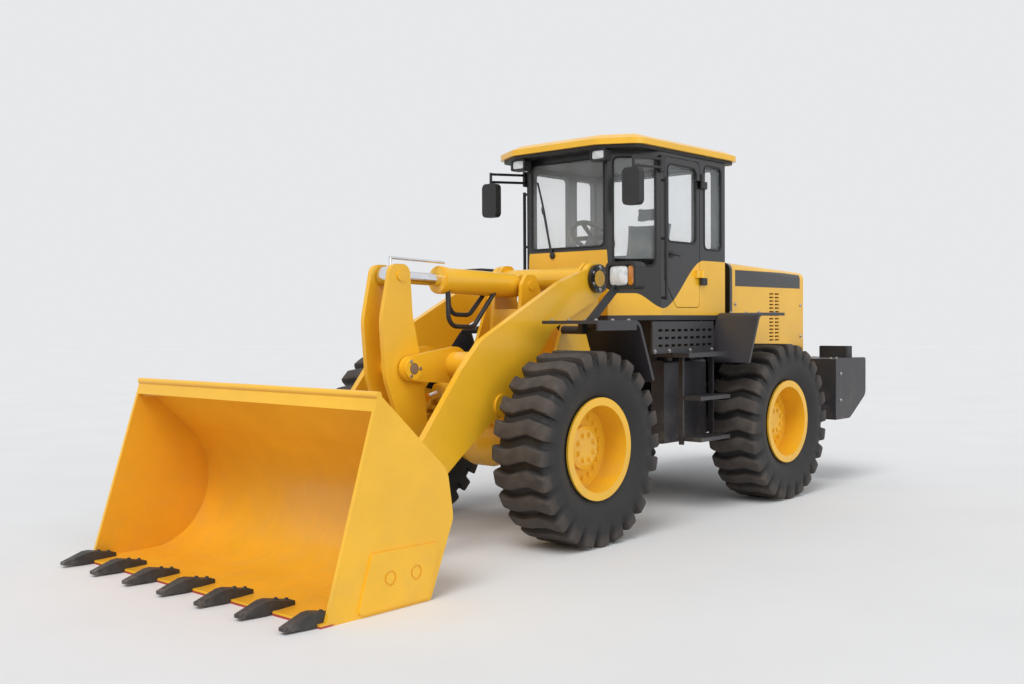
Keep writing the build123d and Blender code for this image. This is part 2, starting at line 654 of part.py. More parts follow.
def front_fenders():
    """Bent fender plates over the front wheels, each with an outer lip and the tube that carries it."""
    thickness = 24
    top = 1560
    outline = [
        (1420, top, 0), (930, top, 90), (750, 1130, 0), (750 + thickness, 1120, 0),
        (945, top - thickness, 70),
        (1420, top - thickness, 0),
    ]
    sheet = shaped_plate(outline, (600, 1100))
    sheet += box((970, 1420), (1084, 1100), (top - 70, top - thickness))
    arm = rod_y((980, 1490), 30, (OUTER_TOWER[1], 640))
    arm += box((950, 1010), (600, 640), (1460, top - thickness))
    return both(sheet + arm)


def headlamps():
    """Lamp pods on posts above the front fenders, each with a recess for its lens."""
    post = shaped_plate([(940, 1560, 0), (1040, 1560, 0), (690, 1830, 40), (600, 1830, 0)], (690, 715))
    pod = rounded_box((570, 700), (620, 900), (1790, 2000), Axis.X, 45)
    pod -= rounded_box((682, 710), (645, 880), (1815, 1975), Axis.X, 35)
    return both(post + pod)


# Rear frame

def rear_frame():
    """Rails with cross plates, hinge plates and the cab's supports."""
    rail = box((COUNTERWEIGHT_FRONT_X, RAIL_FRONT_X), RAIL, (RAIL_BOTTOM_Z, RAIL_TOP_Z))
    arch = rod_y((REAR_AXLE_X, AXLE_Z), AXLE_TUBE_DIAMETER / 2 + 40, (0, 2 * RAIL[1]))
    arch += box((REAR_AXLE_X - 145, REAR_AXLE_X + 145), (0, 2 * RAIL[1]), (0, AXLE_Z))
    rail -= arch
    rail -= box((REAR_AXLE_X - 160, REAR_AXLE_X + 160), (0, 2 * RAIL[1]), (0, DECK_Z))
    body = both(rail)
    outline = [(0, -HINGE_RADIUS), (-330, -RAIL[1]), (-700, -RAIL[1]), (-700, RAIL[1]), (-330, RAIL[1]),
        (0, HINGE_RADIUS)]
    lower = (HINGE_LOWER_Z - HINGE_PLATE, HINGE_LOWER_Z)
    upper = (HINGE_UPPER_Z, HINGE_UPPER_Z + HINGE_PLATE)
    for level in (lower, upper):
        body += plan_plate(outline, level) + rod_z((0, 0), HINGE_RADIUS, level)
    body += both(box((-480, -220), (90, 120), (HINGE_LOWER_Z, HINGE_UPPER_Z)))
    body += both(box((-700, RAIL_FRONT_X), RAIL, (HINGE_LOWER_Z, HINGE_UPPER_Z)))
    for x in (-1130, COUNTERWEIGHT_FRONT_X + 40):
        body += box((x, x + 30), (-RAIL[0], RAIL[0]), (RAIL_TOP_Z - 160, RAIL_TOP_Z))
    flange = box((COUNTERWEIGHT_FRONT_X, HOOD_FRONT_X + 100), (RAIL[0], HOOD_HALF),
        (RAIL_TOP_Z, RAIL_TOP_Z + 40))
    body += both(flange)
    for x in (-160, -860):
        body += box((x, x + 40), (-500, 500), (HINGE_UPPER_Z + HINGE_PLATE, CAB_FLOOR_Z))
    body += box((-860, -820), (-RAIL[1], RAIL[1]), (RAIL_TOP_Z, HINGE_UPPER_Z + HINGE_PLATE))
    pin = rod_z((0, 0), HINGE_PIN_RADIUS,
        (HINGE_LOWER_Z - HINGE_PLATE, HINGE_LOWER_Z + HINGE_GAP + HINGE_PLATE + 12))
    pin += rod_z((0, 0), HINGE_PIN_RADIUS,
        (HINGE_UPPER_Z - HINGE_GAP - HINGE_PLATE - 12, HINGE_UPPER_Z + HINGE_PLATE))
    body += pin
    bracket = Part()
    for low in (STEER_Z - STEER_EYE_HALF - 5 - STEER_LUG, STEER_Z + STEER_EYE_HALF + 5):
        bracket += plan_plate([(-760, RAIL[0]), (-560, RAIL[0]), (-600, 410), (-700, 410)],
            (low, low + STEER_LUG), 15)
    bracket += rod_z(STEER_BASE, SMALL_PIN_RADIUS,
        (STEER_Z - STEER_EYE_HALF - STEER_LUG - 12, STEER_Z + STEER_EYE_HALF + STEER_LUG + 12))
    return body + both(bracket)


def rear_axle():
    """The rear drive axle."""
    return axle(REAR_AXLE_X, 1)


def gearbox():
    """The gearbox between the rails with its output shafts."""
    case = box((-1000, -520), (-230, 230), (RAIL_BOTTOM_Z, RAIL_TOP_Z))
    case = fillet(case.edges().filter_by(Axis.X), 40)
    ears = both(box((-800, -720), (225, RAIL[0]), (780, 860)))
    shaft = rod_x(0, AXLE_Z, 42, (-520, 0)) + rod_x(0, AXLE_Z, 42, (REAR_AXLE_X + 300, -1000))
    ball = Pos(0, 0, AXLE_Z) * Sphere(56)
    return case + ears + shaft + ball


def engine_block():
    """The engine as one plain block on feet between the rails."""
    block = box((HOOD_REAR_X + 450, -1250), (-240, 240), (RAIL_TOP_Z + 40, 1700))
    feet = both(box((HOOD_REAR_X + 580, HOOD_REAR_X + 680), (200, RAIL[1]),
        (RAIL_TOP_Z + 40, RAIL_TOP_Z + 90)))
    feet += both(box((-1450, -1350), (200, RAIL[1]), (RAIL_TOP_Z + 40, RAIL_TOP_Z + 90)))
    return block + feet


def counterweight():
    """The cast counterweight with its tow slot, pin bore and lifting-eye bores."""
    rear = -REAR_REACH
    side = [
        (COUNTERWEIGHT_FRONT_X, COUNTERWEIGHT_BOTTOM_Z, 0), (rear + 350, COUNTERWEIGHT_BOTTOM_Z, 120),
        (rear, 830, 80), (rear, COUNTERWEIGHT_TOP_Z, 30), (COUNTERWEIGHT_FRONT_X, COUNTERWEIGHT_TOP_Z, 0),
    ]
    body = shaped_plate(side, (-COUNTERWEIGHT_HALF, COUNTERWEIGHT_HALF))
    body -= box((rear - 10, rear + 190), (-90, 90), (880, 980))
    body -= rod_z(TOW_PIN, SMALL_PIN_RADIUS, (TOW_BORE_Z, COUNTERWEIGHT_TOP_Z + 10))
    depth = (COUNTERWEIGHT_TOP_Z - LIFTING_EYE_DEPTH, COUNTERWEIGHT_TOP_Z + 10)
    return body - both(rod_z(LIFTING_EYE, LIFTING_EYE_RADIUS, depth))


def hood():
    """The engine hood: a shell open below and behind, with louvres in its sides."""
    outline = [
        (HOOD_FRONT_X, RAIL_TOP_Z + 40), (COUNTERWEIGHT_FRONT_X + 2, RAIL_TOP_Z + 40),
        (COUNTERWEIGHT_FRONT_X + 2, COUNTERWEIGHT_TOP_Z), (HOOD_REAR_X, COUNTERWEIGHT_TOP_Z),
        (HOOD_REAR_X, HOOD_TOP_Z - 50), (HOOD_FRONT_X, HOOD_TOP_Z),
    ]
    body = side_plate(outline, (-HOOD_HALF, HOOD_HALF))
    roof_edges = body.edges().filter_by(
        lambda edge: edge.center().Z > HOOD_TOP_Z - 60 and abs(edge.center().Y) > 500)
    body = fillet(roof_edges, 70)
    inner = box((HOOD_REAR_X + HOOD_WALL, HOOD_FRONT_X - HOOD_WALL),
        (-HOOD_HALF + HOOD_WALL, HOOD_HALF - HOOD_WALL),
                (0, HOOD_TOP_Z - 50 - HOOD_WALL))
    body -= inner
    grille_hole = box((HOOD_REAR_X - 10, HOOD_REAR_X + HOOD_WALL + 10), (-480, 480), (1260, 1900))
    body -= grille_hole
    width, height = SLOT_SIZE
    slots = []
    for x in SLOT_COLUMNS:
        for row in range(SLOT_ROWS):
            low = SLOT_BOTTOM_Z + SLOT_PITCH * row
            slots.append(box((x - width / 2, x + width / 2), (-HOOD_HALF - 10, HOOD_HALF + 10),
                (low, low + height)))
    return body - slots


def hood_grille():
    """The radiator grille in the hood's rear opening: a frame with level bars."""
    frame = box((HOOD_REAR_X + 4, HOOD_REAR_X + HOOD_WALL), (-480 + RUN, 480 - RUN), (1260 + RUN, 1900 - RUN))
    frame -= box((HOOD_REAR_X, HOOD_REAR_X + 2 * HOOD_WALL), (-440, 440), (1300, 1860))
    bars = [box((HOOD_REAR_X + 8, HOOD_REAR_X + 24), (-440, 440), (1330 + 56 * index, 1350 + 56 * index))
            for index in range(10)]
    return frame + bars


def rear_fenders():
    """Slanted front plates and top plates over the rear wheels."""
    outline = [
        (-600, 1210, 0), (-770, 1620, 80), (-1210, 1620, 0), (-1210, 1595, 0), (-788, 1595, 60),
        (-625, 1205, 0),
    ]
    sheet = shaped_plate(outline, (CAB_HALF + 6, 1100))
    bracket = box((-1180, -1110), (HOOD_HALF, CAB_HALF + 30), (1500, 1595))
    return both(sheet + bracket)


def side_tanks():
    """The tank boxes below the cab on both sides."""
    tank = box((-670, -40), TANK, (560, TANK_TOP_Z))
    tank = fillet(tank.edges().filter_by(Axis.X), 20)
    bracket = box((-640, -560), (RAIL[1], TANK[0] + 10), (900, RAIL_TOP_Z - 10))
    return both(tank + bracket)


def steps():
    """The platform plates with their slotted skirts, and the ladders below them."""
    plate = box((-560, 40), (TANK[0] + 90, 940), (STEP_Z, STEP_Z + 35))
    for x in (-500, -160):
        plate += box((x, x + 60), (TANK[0] + 90, TANK[1]), (TANK_TOP_Z, STEP_Z))
    skirt = box((-560, 330), (776, 794), (STEP_Z + 35, CAB_FLOOR_Z - 10))
    slots = []
    for row in range(3):
        for column in range(9):
            x = -500 + 90 * column
            low = STEP_Z + 85 + 60 * row
            slots.append(box((x - 28, x + 28), (700, 900), (low, low + 20)))
    ladder = Part()
    for x in (-545, -95):
        ladder += box((x - 10, x + 10), (760, 800), (560, STEP_Z))
    for z in (590, 920):
        ladder += box((-545, -95), (740, 960), (z, z + 30))
    return both(plate + (skirt - slots) + ladder)


# Cab

def cab_plan(inset=0):
    """The cab's plan outline, moved in by a wall."""
    slope = (CAB_HALF - CAB_FRONT_HALF) / (CAB_FRONT_X - CAB_POST_X)
    shift = inset * (hypot(1, slope) - 1) / slope
    return [
        (CAB_FRONT_X - inset, -CAB_FRONT_HALF + shift), (CAB_FRONT_X - inset, CAB_FRONT_HALF - shift),
        (CAB_POST_X - inset * (hypot(1, slope) - slope), CAB_HALF - inset),
        (CAB_REAR_X + inset, CAB_HALF - inset),
        (CAB_REAR_X + inset, -CAB_HALF + inset),
        (CAB_POST_X - inset * (hypot(1, slope) - slope), -CAB_HALF + inset),
    ]


def cab_ring(outer_inset, inner_inset, z_span):
    """A closed band of cab wall."""
    low, high = z_span
    return plan_plate(cab_plan(outer_inset), z_span) - plan_plate(cab_plan(inner_inset), (low - 1, high + 1))


def quarter_cutter(margin, z_span, depth):
    """A block through the slanted front quarter wall on the left."""
    run = (CAB_POST_X - CAB_FRONT_X, CAB_HALF - CAB_FRONT_HALF)
    length = hypot(*run)
    middle = ((CAB_POST_X + CAB_FRONT_X) / 2, (CAB_HALF + CAB_FRONT_HALF) / 2)
    angle = degrees(atan2(run[1], run[0]))
    low, high = z_span
    span = length / 2 - margin
    block = rounded_box((-span, span), (-depth / 2, depth / 2), (low, high), Axis.Y, WINDOW_CORNER)
    return Pos(middle[0], middle[1], 0) * Rot(0, 0, angle) * block


def window_cutters(shrink):
    """The window openings of the cab, each made smaller by a margin."""
    low, high = SILL_Z + shrink, HEAD_Z - shrink
    corner = WINDOW_CORNER
    quarter = quarter_cutter(PILLAR + 12 + shrink, (QUARTER_SILL_Z + shrink, high), 120)
    wall = (CAB_HALF - 90, CAB_HALF + 90)
    rear_x = CAB_REAR_X + CAB_WALL + PILLAR / 2
    rear_side = rounded_box((rear_x + shrink, DOOR_REAR_X - 70 - shrink), wall, (low, high), Axis.Y, corner)
    right_side = mirrored(rounded_box(
        (DOOR_REAR_X + PILLAR + shrink, DOOR_FRONT_X - PILLAR - shrink), wall, (low, high), Axis.Y, corner))
    front_half = CAB_FRONT_HALF - PILLAR - shrink
    rear_half = CAB_HALF - CAB_WALL - 2 * PILLAR - shrink
    return [
        rounded_box((CAB_FRONT_X - 90, CAB_FRONT_X + 90), (-front_half, front_half), (low, high), Axis.X,
        corner),
        quarter, mirrored(quarter), rear_side, mirrored(rear_side), right_side,
        rounded_box((CAB_REAR_X - 90, CAB_REAR_X + 90), (-rear_half, rear_half), (low, high), Axis.X, corner),
    ]


def door_cutter(gap):
    """The doorway in the left wall, or with a gap the door's block, its lower front corner cut off."""
    cut_x, cut_z = DOOR_CUT
    rear, front = DOOR_REAR_X + gap, DOOR_FRONT_X - gap
    bottom, top = DOOR_BOTTOM_Z + gap, HEAD_Z + 20 - gap
    corners = [
        (rear, top, DOOR_CORNER), (front, top, DOOR_CORNER), (front, bottom + cut_z, DOOR_CORNER),
        (front - cut_x, bottom, DOOR_CORNER), (rear, bottom, DOOR_CORNER),
    ]
    return shaped_plate(corners, (CAB_HALF - 90, CAB_HALF + 90))


def cab_walls():
    """The cab's wall band with its doorway and windows cut, before it is split into panels."""
    walls = cab_ring(0, CAB_WALL, (CAB_FLOOR_Z + CAB_FLOOR_THICKNESS, CAB_TOP_Z))
    walls -= door_cutter(0)
    for cutter in window_cutters(0):
        walls -= cutter
    return walls


def cab_panels():
    """The front, two side and rear wall panels."""
    walls = cab_walls()
    tall = (CAB_FLOOR_Z, CAB_TOP_Z + 10)
    split_x = CAB_POST_X - 20
    rear_x = CAB_REAR_X + CAB_WALL
    return {
        "cab_front": walls & box((split_x, 2000), (-2000, 2000), tall),
        "cab_side_left": walls & box((rear_x, split_x), (0, 2000), tall),
        "cab_side_right": walls & box((rear_x, split_x), (-2000, 0), tall),
        "cab_rear": walls & box((-2000, rear_x), (-2000, 2000), tall),
    }


def cab_floor():
    """The cab floor with the seat's pedestal."""
    floor = plan_plate(cab_plan(), (CAB_FLOOR_Z, CAB_FLOOR_Z + CAB_FLOOR_THICKNESS))
    return floor + box((-700, -300), (-180, 180), (CAB_FLOOR_Z + CAB_FLOOR_THICKNESS, 1850))


def cab_glass():
    """Every fixed pane of the cab."""
    middle = CAB_WALL / 2
    band = cab_ring(middle - GLASS_THICKNESS / 2, middle + GLASS_THICKNESS / 2, (SILL_Z - 100, HEAD_Z + 20))
    return Part() + [band & cutter for cutter in window_cutters(RUN)]


def roof_plan():
    """The roof's plan, wider than the cab and reaching forward over the windscreen."""
    front = CAB_FRONT_X + 185
    side = CAB_HALF + 40
    rear = CAB_REAR_X - 180
    return face_of([
        (front, -430, 150), (front, 430, 150), (front - 175, side, 130), (rear, side + 10, 110),
        (rear, -side - 10, 110), (front - 175, -side, 130),
    ])


def cab_roof():
    """The roof cap: an upright rim with a low crown."""
    crown = ROOF_THICKNESS - ROOF_LINER - ROOF_RIM
    plan = roof_plan()
    rim = extrude(plan, ROOF_RIM)
    top = loft([Pos(0, 0, ROOF_RIM) * plan, Pos(0, 0, ROOF_RIM + crown) * offset(plan, -ROOF_CROWN_INSET)],
        ruled=True)
    return Pos(0, 0, CAB_TOP_Z + ROOF_LINER) * (rim + top)


def roof_liner():
    """The plate between the cab's walls and the roof cap, set back from the cap's rim."""
    return Pos(0, 0, CAB_TOP_Z) * extrude(offset(roof_plan(), -30), ROOF_LINER)


def roof_lamps():
    """Two work lamps below the roof's front corners, each with a recess for its lens."""
    lamp = rounded_box((440, 525), (340, 490), (CAB_TOP_Z - 95, CAB_TOP_Z), Axis.X, 18)
    lamp -= rounded_box((515, 530), (355, 475), (CAB_TOP_Z - 82, CAB_TOP_Z - 13), Axis.X, 12)
    return both(lamp)


def door():
    """The left door with its window cut and hinge knuckles at its rear edge."""
    leaf = cab_ring(0, CAB_WALL, (DOOR_BOTTOM_Z, HEAD_Z + 20)) & door_cutter(DOOR_GAP)
    leaf -= door_window(0)
    axis = (DOOR_REAR_X, CAB_HALF + DOOR_HINGE_OUT)
    for z in DOOR_HINGE_HEIGHTS:
        level = (z + DOOR_KNUCKLE_HEIGHT + RUN, z + 2 * DOOR_KNUCKLE_HEIGHT)
        knuckle = rod_z(axis, DOOR_KNUCKLE_RADIUS, level)
        knuckle += box((DOOR_REAR_X, DOOR_REAR_X + DOOR_STRAP), (CAB_HALF, CAB_HALF + DOOR_HINGE_OUT), level)
        leaf += knuckle - rod_z(axis, DOOR_PIN_RADIUS + RUN, level)
    return leaf


def door_window(shrink):
    """The door's window opening, made smaller by a margin."""
    return rounded_box(
        (DOOR_REAR_X + 60 + shrink, DOOR_FRONT_X - 55 - shrink), (CAB_HALF - 90, CAB_HALF + 90),
        (SILL_Z + 40 + shrink, HEAD_Z - 40 - shrink), Axis.Y, WINDOW_CORNER)


def door_glass():
    """The door's pane."""
    middle = CAB_WALL / 2
    band = cab_ring(middle - GLASS_THICKNESS / 2, middle + GLASS_THICKNESS / 2, (DOOR_BOTTOM_Z, HEAD_Z + 20))
    return band & door_window(RUN)


def door_hinges():
    """Two hinge pins with straps behind the doorway, on the cab side."""
    axis = (DOOR_REAR_X, CAB_HALF + DOOR_HINGE_OUT)
    hinges = Part()
    for z in DOOR_HINGE_HEIGHTS:
        hinges += rod_z(axis, DOOR_KNUCKLE_RADIUS, (z, z + DOOR_KNUCKLE_HEIGHT))
        hinges += rod_z(axis, DOOR_PIN_RADIUS, (z, z + 2 * DOOR_KNUCKLE_HEIGHT))
        hinges += box((DOOR_REAR_X - DOOR_STRAP, DOOR_REAR_X), (CAB_HALF, CAB_HALF + DOOR_HINGE_OUT),
            (z, z + DOOR_KNUCKLE_HEIGHT))
    return hinges


def seat():
    """The operator's seat as one soft solid."""
    outline = [
        (-330, 1850), (-720, 1850), (-760, 1960), (-850, 2560), (-780, 2580), (-700, 2100), (-640, 2000),
        (-280, 2010),
        (-270, 1920),
    ]
    return side_plate(outline, (-250, 250), 25)


def steering_column():
    """The dash console with the steering column and wheel."""
    foot = CAB_FLOOR_Z + CAB_FLOOR_THICKNESS
    console = shaped_plate([(120, foot, 0), (300, foot, 0), (260, 2080, 40), (160, 2080, 40)], (-150, 150))
    column = bar((210, 0, 2060), (48, 0, 2254), 35)
    ring = extrude(RegularPolygon(200, 24) - RegularPolygon(168, 24), 26)
    wheel = Pos(0, 0, -13) * ring + Box(350, 40, 14) + Box(40, 350, 14)
    return console + column + Pos(50, 0, 2252) * Rot(0, -40, 0) * wheel


def mirrors():
    """Two mirrors on double bars from the cab's posts."""
    foot = box((CAB_POST_X - 22, CAB_POST_X + 34), (CAB_HALF, CAB_HALF + 26),
        (CAB_TOP_Z - 165, CAB_TOP_Z - 35))
    bars = Part()
    for rise in (CAB_TOP_Z - 130, CAB_TOP_Z - 64):
        bars += bar((CAB_POST_X - 5, CAB_HALF + 15, rise), (500, 740, rise - 28), 11)
    stem = rod_z((500, 740), 12, (CAB_TOP_Z - 180, CAB_TOP_Z - 80))
    head = box((466, 532), (655, 815), (CAB_TOP_Z - 460, CAB_TOP_Z - 175))
    head = fillet(head.edges().filter_by(Axis.X), 40)
    return both(foot + bars + stem + head)


def grab_rails():
    """Hand rails on the cab's front posts."""
    x, y = CAB_POST_X - 10, CAB_HALF + 45
    low, high = 1740, CAB_TOP_Z - 230
    rail = rod_z((x, y), 14, (low - 20, high + 20))
    for z in (low, low + (high - low) * 47 / 93, high):
        rail += bar((x, CAB_HALF, z), (x, y, z), 11)
    return both(rail)


def rear_lamps():
    """Lamp boxes on the counterweight's top corners."""
    x, y = -REAR_REACH + 110, COUNTERWEIGHT_HALF - 260
    return both(rounded_box(
        (x - 60, x + 60), (y - 150, y + 150), (COUNTERWEIGHT_TOP_Z, COUNTERWEIGHT_TOP_Z + 110), Axis.Z, 20))


def assembly():
    """Every node's solid by name."""
    tilt_barrel, tilt_rod, tilt_hoses = tilt_cylinder()
    lift_barrel, lift_rod = lift_cylinder()
    steer_barrel, steer_rod = steer_cylinder()
    nodes = {
        "rear_frame": rear_frame(), "rear_axle": rear_axle(), "gearbox": gearbox(),
        "engine_block": engine_block(),
        "counterweight": counterweight(), "hood": hood(), "hood_grille": hood_grille(),
        "rear_fenders": rear_fenders(), "side_tanks": side_tanks(), "steps": steps(),
        "rear_lamps": rear_lamps(),
        "cab_floor": cab_floor(), "cab_roof": cab_roof(), "roof_liner": roof_liner(),
        "grab_rails": grab_rails(), "cab_glass": cab_glass(), "roof_lamps": roof_lamps(),
        "seat": seat(), "steering_column": steering_column(), "mirrors": mirrors(),
        "door_hinges": door_hinges(),
        "door": door(), "door_glass": door_glass(),
        "front_frame": front_frame(), "front_axle": axle(FRONT_AXLE_X, -1), "front_shaft": front_shaft(),
        "front_fenders": front_fenders(), "headlamps": headlamps(),
        "boom_arms": boom_arms(), "boom_crossbeam": boom_crossbeam(), "rocker": rocker(),
        "rocker_pin": rocker_pin(),
        "link": link(), "link_pin": link_pin(),
        "bucket": bucket(), "bucket_pins": bucket_pins(), "bucket_teeth": bucket_teeth(),
        "tilt_barrel": tilt_barrel, "tilt_rod": tilt_rod, "tilt_hoses": tilt_hoses,
        "lift_barrel_left": lift_barrel, "lift_barrel_right": mirrored(lift_barrel),
        "lift_rod_left": lift_rod, "lift_rod_right": mirrored(lift_rod),
        "steer_barrel_left": steer_barrel, "steer_barrel_right": mirrored(steer_barrel),
        "steer_rod_left": steer_rod, "steer_rod_right": mirrored(steer_rod),
    }
    nodes.update(cab_panels())
    tyre_shape, rim_shape = tyre(), rim()
    for name, (x, side) in wheel_places().items():
        nodes["tyre_" + name] = on_wheel(tyre_shape, x, side)
        nodes["rim_" + name] = on_wheel(rim_shape, x, side)
    return nodes


def main():
    """Write one STEP file for each node."""
    os.makedirs("parts", exist_ok=True)
    for name, shape in assembly().items():
        export_step(Pos(ORIGIN_SHIFT, 0, 0) * shape, "parts/" + name + ".step")


if __name__ == "__main__":
    main()
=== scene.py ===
"""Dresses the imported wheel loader: paints every piece, adds its trim and sets the studio around it."""
import json
import math
import bmesh
import bpy
from mathutils import Matrix, Vector


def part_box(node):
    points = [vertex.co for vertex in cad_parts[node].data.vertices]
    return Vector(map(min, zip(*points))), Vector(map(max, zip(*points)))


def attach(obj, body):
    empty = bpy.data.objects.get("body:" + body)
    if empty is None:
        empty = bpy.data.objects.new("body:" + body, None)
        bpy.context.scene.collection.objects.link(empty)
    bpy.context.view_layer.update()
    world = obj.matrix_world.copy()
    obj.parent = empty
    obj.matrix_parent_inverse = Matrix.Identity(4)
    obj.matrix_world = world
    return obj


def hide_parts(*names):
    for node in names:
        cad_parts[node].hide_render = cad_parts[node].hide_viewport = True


bl_info = {
    "name": "Wheel Loader Dressing",
    "version": (1, 0, 0),
    "blender": (4, 5, 0),
    "location": "View3D > Sidebar > Loader",
    "description": "Paints an articulated wheel loader, adds its trim and sets up its studio",
    "category": "Object",
}

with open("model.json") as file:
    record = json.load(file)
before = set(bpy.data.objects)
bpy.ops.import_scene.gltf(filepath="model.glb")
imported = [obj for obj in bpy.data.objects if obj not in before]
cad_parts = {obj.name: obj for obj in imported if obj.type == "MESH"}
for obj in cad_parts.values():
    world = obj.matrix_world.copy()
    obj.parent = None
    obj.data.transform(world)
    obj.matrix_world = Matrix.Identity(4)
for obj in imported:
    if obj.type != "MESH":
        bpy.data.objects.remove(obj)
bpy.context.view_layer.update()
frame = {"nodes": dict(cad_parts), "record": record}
NODES = frame["nodes"]
JOINTS = {joint["name"]: joint for joint in frame["record"]["behaviour"]["joints"]}
SLOTS = {part["node"]: part["material_slot"] for part in frame["record"]["subparts"]}
WHEELS = ("front_left", "front_right", "rear_left", "rear_right")
PIVOT_X = JOINTS["articulation"]["pos_m"][0]
SIDES = (1.0, -1.0)
AHEAD = Vector((1.0, 0.0, 0.0))
LEFT = Vector((0.0, 1.0, 0.0))
UP = Vector((0.0, 0.0, 1.0))


def at(x, y, z):
    """A place given from the articulation pin, in the frame's own coordinates."""
    return Vector((x + PIVOT_X, y, z))


def wheel_centre(place):
    """A wheel's centre on its axle."""
    return Vector(JOINTS["wheel_" + place + "_spin"]["pos_m"])


class Wire:
    """A socket of a material's node, with arithmetic that adds Math nodes."""

    def __init__(self, shop, socket):
        self.shop = shop
        self.socket = socket

    def math(self, operation, first, second=0.0):
        return self.shop.node("ShaderNodeMath", {"operation": operation}, {0: first, 1: second})

    def __add__(self, other):
        return self.math("ADD", self, other)

    def __radd__(self, other):
        return self.math("ADD", other, self)

    def __sub__(self, other):
        return self.math("SUBTRACT", self, other)

    def __rsub__(self, other):
        return self.math("SUBTRACT", other, self)

    def __mul__(self, other):
        return self.math("MULTIPLY", self, other)

    def __rmul__(self, other):
        return self.math("MULTIPLY", other, self)

    def clamped(self):
        return self.math("MINIMUM", self.math("MAXIMUM", self, 0.0), 1.0)

    def sine(self):
        return self.math("SINE", self)

    def size(self):
        return self.math("ABSOLUTE", self)

    def root(self):
        return self.math("SQRT", self)


class PaintShop:
    """Builds one material from nodes."""

    def __init__(self, name):
        self.material = bpy.data.materials.new(name)
        self.material.use_nodes = True
        self.tree = self.material.node_tree
        self.tree.nodes.clear()
        self.output = self.tree.nodes.new("ShaderNodeOutputMaterial")
        self.surface = self.tree.nodes.new("ShaderNodeBsdfPrincipled")
        self.tree.links.new(self.surface.outputs[0], self.output.inputs["Surface"])

    def node(self, kind, settings=None, inputs=None, result=0):
        """Adds a node, sets it up, feeds its sockets and gives one output."""
        node = self.tree.nodes.new(kind)
        for key, value in (settings or {}).items():
            setattr(node, key, value)
        for key, value in (inputs or {}).items():
            self.feed(node.inputs[key], value)
        return Wire(self, node.outputs[result])

    def feed(self, socket, value):
        if isinstance(value, Wire):
            self.tree.links.new(value.socket, socket)
        elif socket.type == "RGBA" and len(value) == 3:
            socket.default_value = (*value, 1.0)
        else:
            socket.default_value = value

    def put(self, **sockets):
        """Feeds the surface's sockets by name, with underscores for spaces."""
        for key, value in sockets.items():
            self.feed(self.surface.inputs[key.replace("_", " ")], value)

    def place(self, offset=(0.0, 0.0, 0.0), scale=(1.0, 1.0, 1.0)):
        """Object coordinates, moved and scaled."""
        coords = self.node("ShaderNodeTexCoord", result="Object")
        return self.node("ShaderNodeMapping", None, {"Vector": coords, "Location": offset, "Scale": scale})

    def from_pivot(self):
        """Object coordinates measured from the articulation pin."""
        return self.place((-PIVOT_X, 0.0, 0.0))

    def axes(self, place):
        """The three parts of a place."""
        split = self.tree.nodes.new("ShaderNodeSeparateXYZ")
        self.feed(split.inputs[0], place)
        return [Wire(self, output) for output in split.outputs]

    def noise(self, place, scale, detail=4.0, roughness=0.55):
        return self.node("ShaderNodeTexNoise", None,
                         {"Vector": place, "Scale": scale, "Detail": detail, "Roughness": roughness})

    def ramp(self, value, low, high):
        """A smooth step from 0 at low to 1 at high."""
        return self.node("ShaderNodeMapRange", {"interpolation_type": "SMOOTHSTEP"},
                         {"Value": value, "From Min": low, "From Max": high})

    def band(self, value, low, high, soft):
        """1 between two values, 0 beyond them."""
        return self.ramp(value, low - soft, low + soft) * (1.0 - self.ramp(value, high - soft, high + soft))

    def blend(self, mask, first, second):
        """Mixes two colours by a mask."""
        return self.node("ShaderNodeMix", {"data_type": "RGBA"}, {0: mask, 6: first, 7: second}, 2)

    def bump(self, height, strength, distance):
        return self.node("ShaderNodeBump", None,
                         {"Height": height, "Strength": strength, "Distance": distance})

    def grain(self, name):
        """A number that a piece's mesh carries."""
        return self.node("ShaderNodeAttribute", {"attribute_name": name}, result="Fac")


def shade(colour, factor):
    """A colour made lighter or darker."""
    return tuple(min(1.0, part * factor) for part in colour)


ROAD_DUST = (0.30, 0.25, 0.19)
PAINT_EDGE = 0.003


def mottled(shop, colour):
    """A colour with faint uneven depth, as sprayed paint has."""
    mask = shop.ramp(shop.noise(shop.place(), 2.3, 5.0), 0.3, 0.75)
    return shop.blend(mask, shade(colour, 0.95), shade(colour, 1.05))


def sprayed(shop, body, gloss=0.32, dust=0.25, coat=0.3):
    """Finishes a paint: orange peel, a clear coat, and road dust that thins with height."""
    spot = shop.place()
    z = shop.axes(spot)[2]
    patches = shop.ramp(shop.noise(spot, 7.0, 6.0), 0.4, 0.8)
    dusty = ((1.0 - shop.ramp(z, 0.0, 1.2)) * patches * dust).clamped()
    streaks = shop.noise(shop.place(scale=(1.0, 1.0, 0.12)), 22.0, 3.0)
    shop.put(Base_Color=shop.blend(dusty, body, ROAD_DUST))
    shop.put(Roughness=(gloss + dusty * 0.45 + shop.ramp(streaks, 0.35, 0.9) * 0.10).clamped())
    shop.put(Normal=shop.bump(shop.noise(spot, 240.0, 2.0), 0.06, 0.0006))
    shop.put(Coat_Weight=coat, Coat_Roughness=0.12, Specular_IOR_Level=0.5)
    return shop.material


def paint(name, colour, gloss=0.32, dust=0.25, coat=0.3):
    """One colour of machine paint."""
    shop = PaintShop(name)
    return sprayed(shop, mottled(shop, colour), gloss, dust, coat)


# The cab's yellow skirt: its height at the rear, and its dip and its rise on the way to the front
SKIRT_TOP = 2.055
SKIRT_DIP = 0.40
SKIRT_DIP_X = (-0.56, 0.05)
SKIRT_RISE = 0.12
SKIRT_RISE_X = (0.05, 0.23)
FRONT_PANEL_TOP = 2.12
FRONT_QUARTER_Y = (0.40, 0.43)


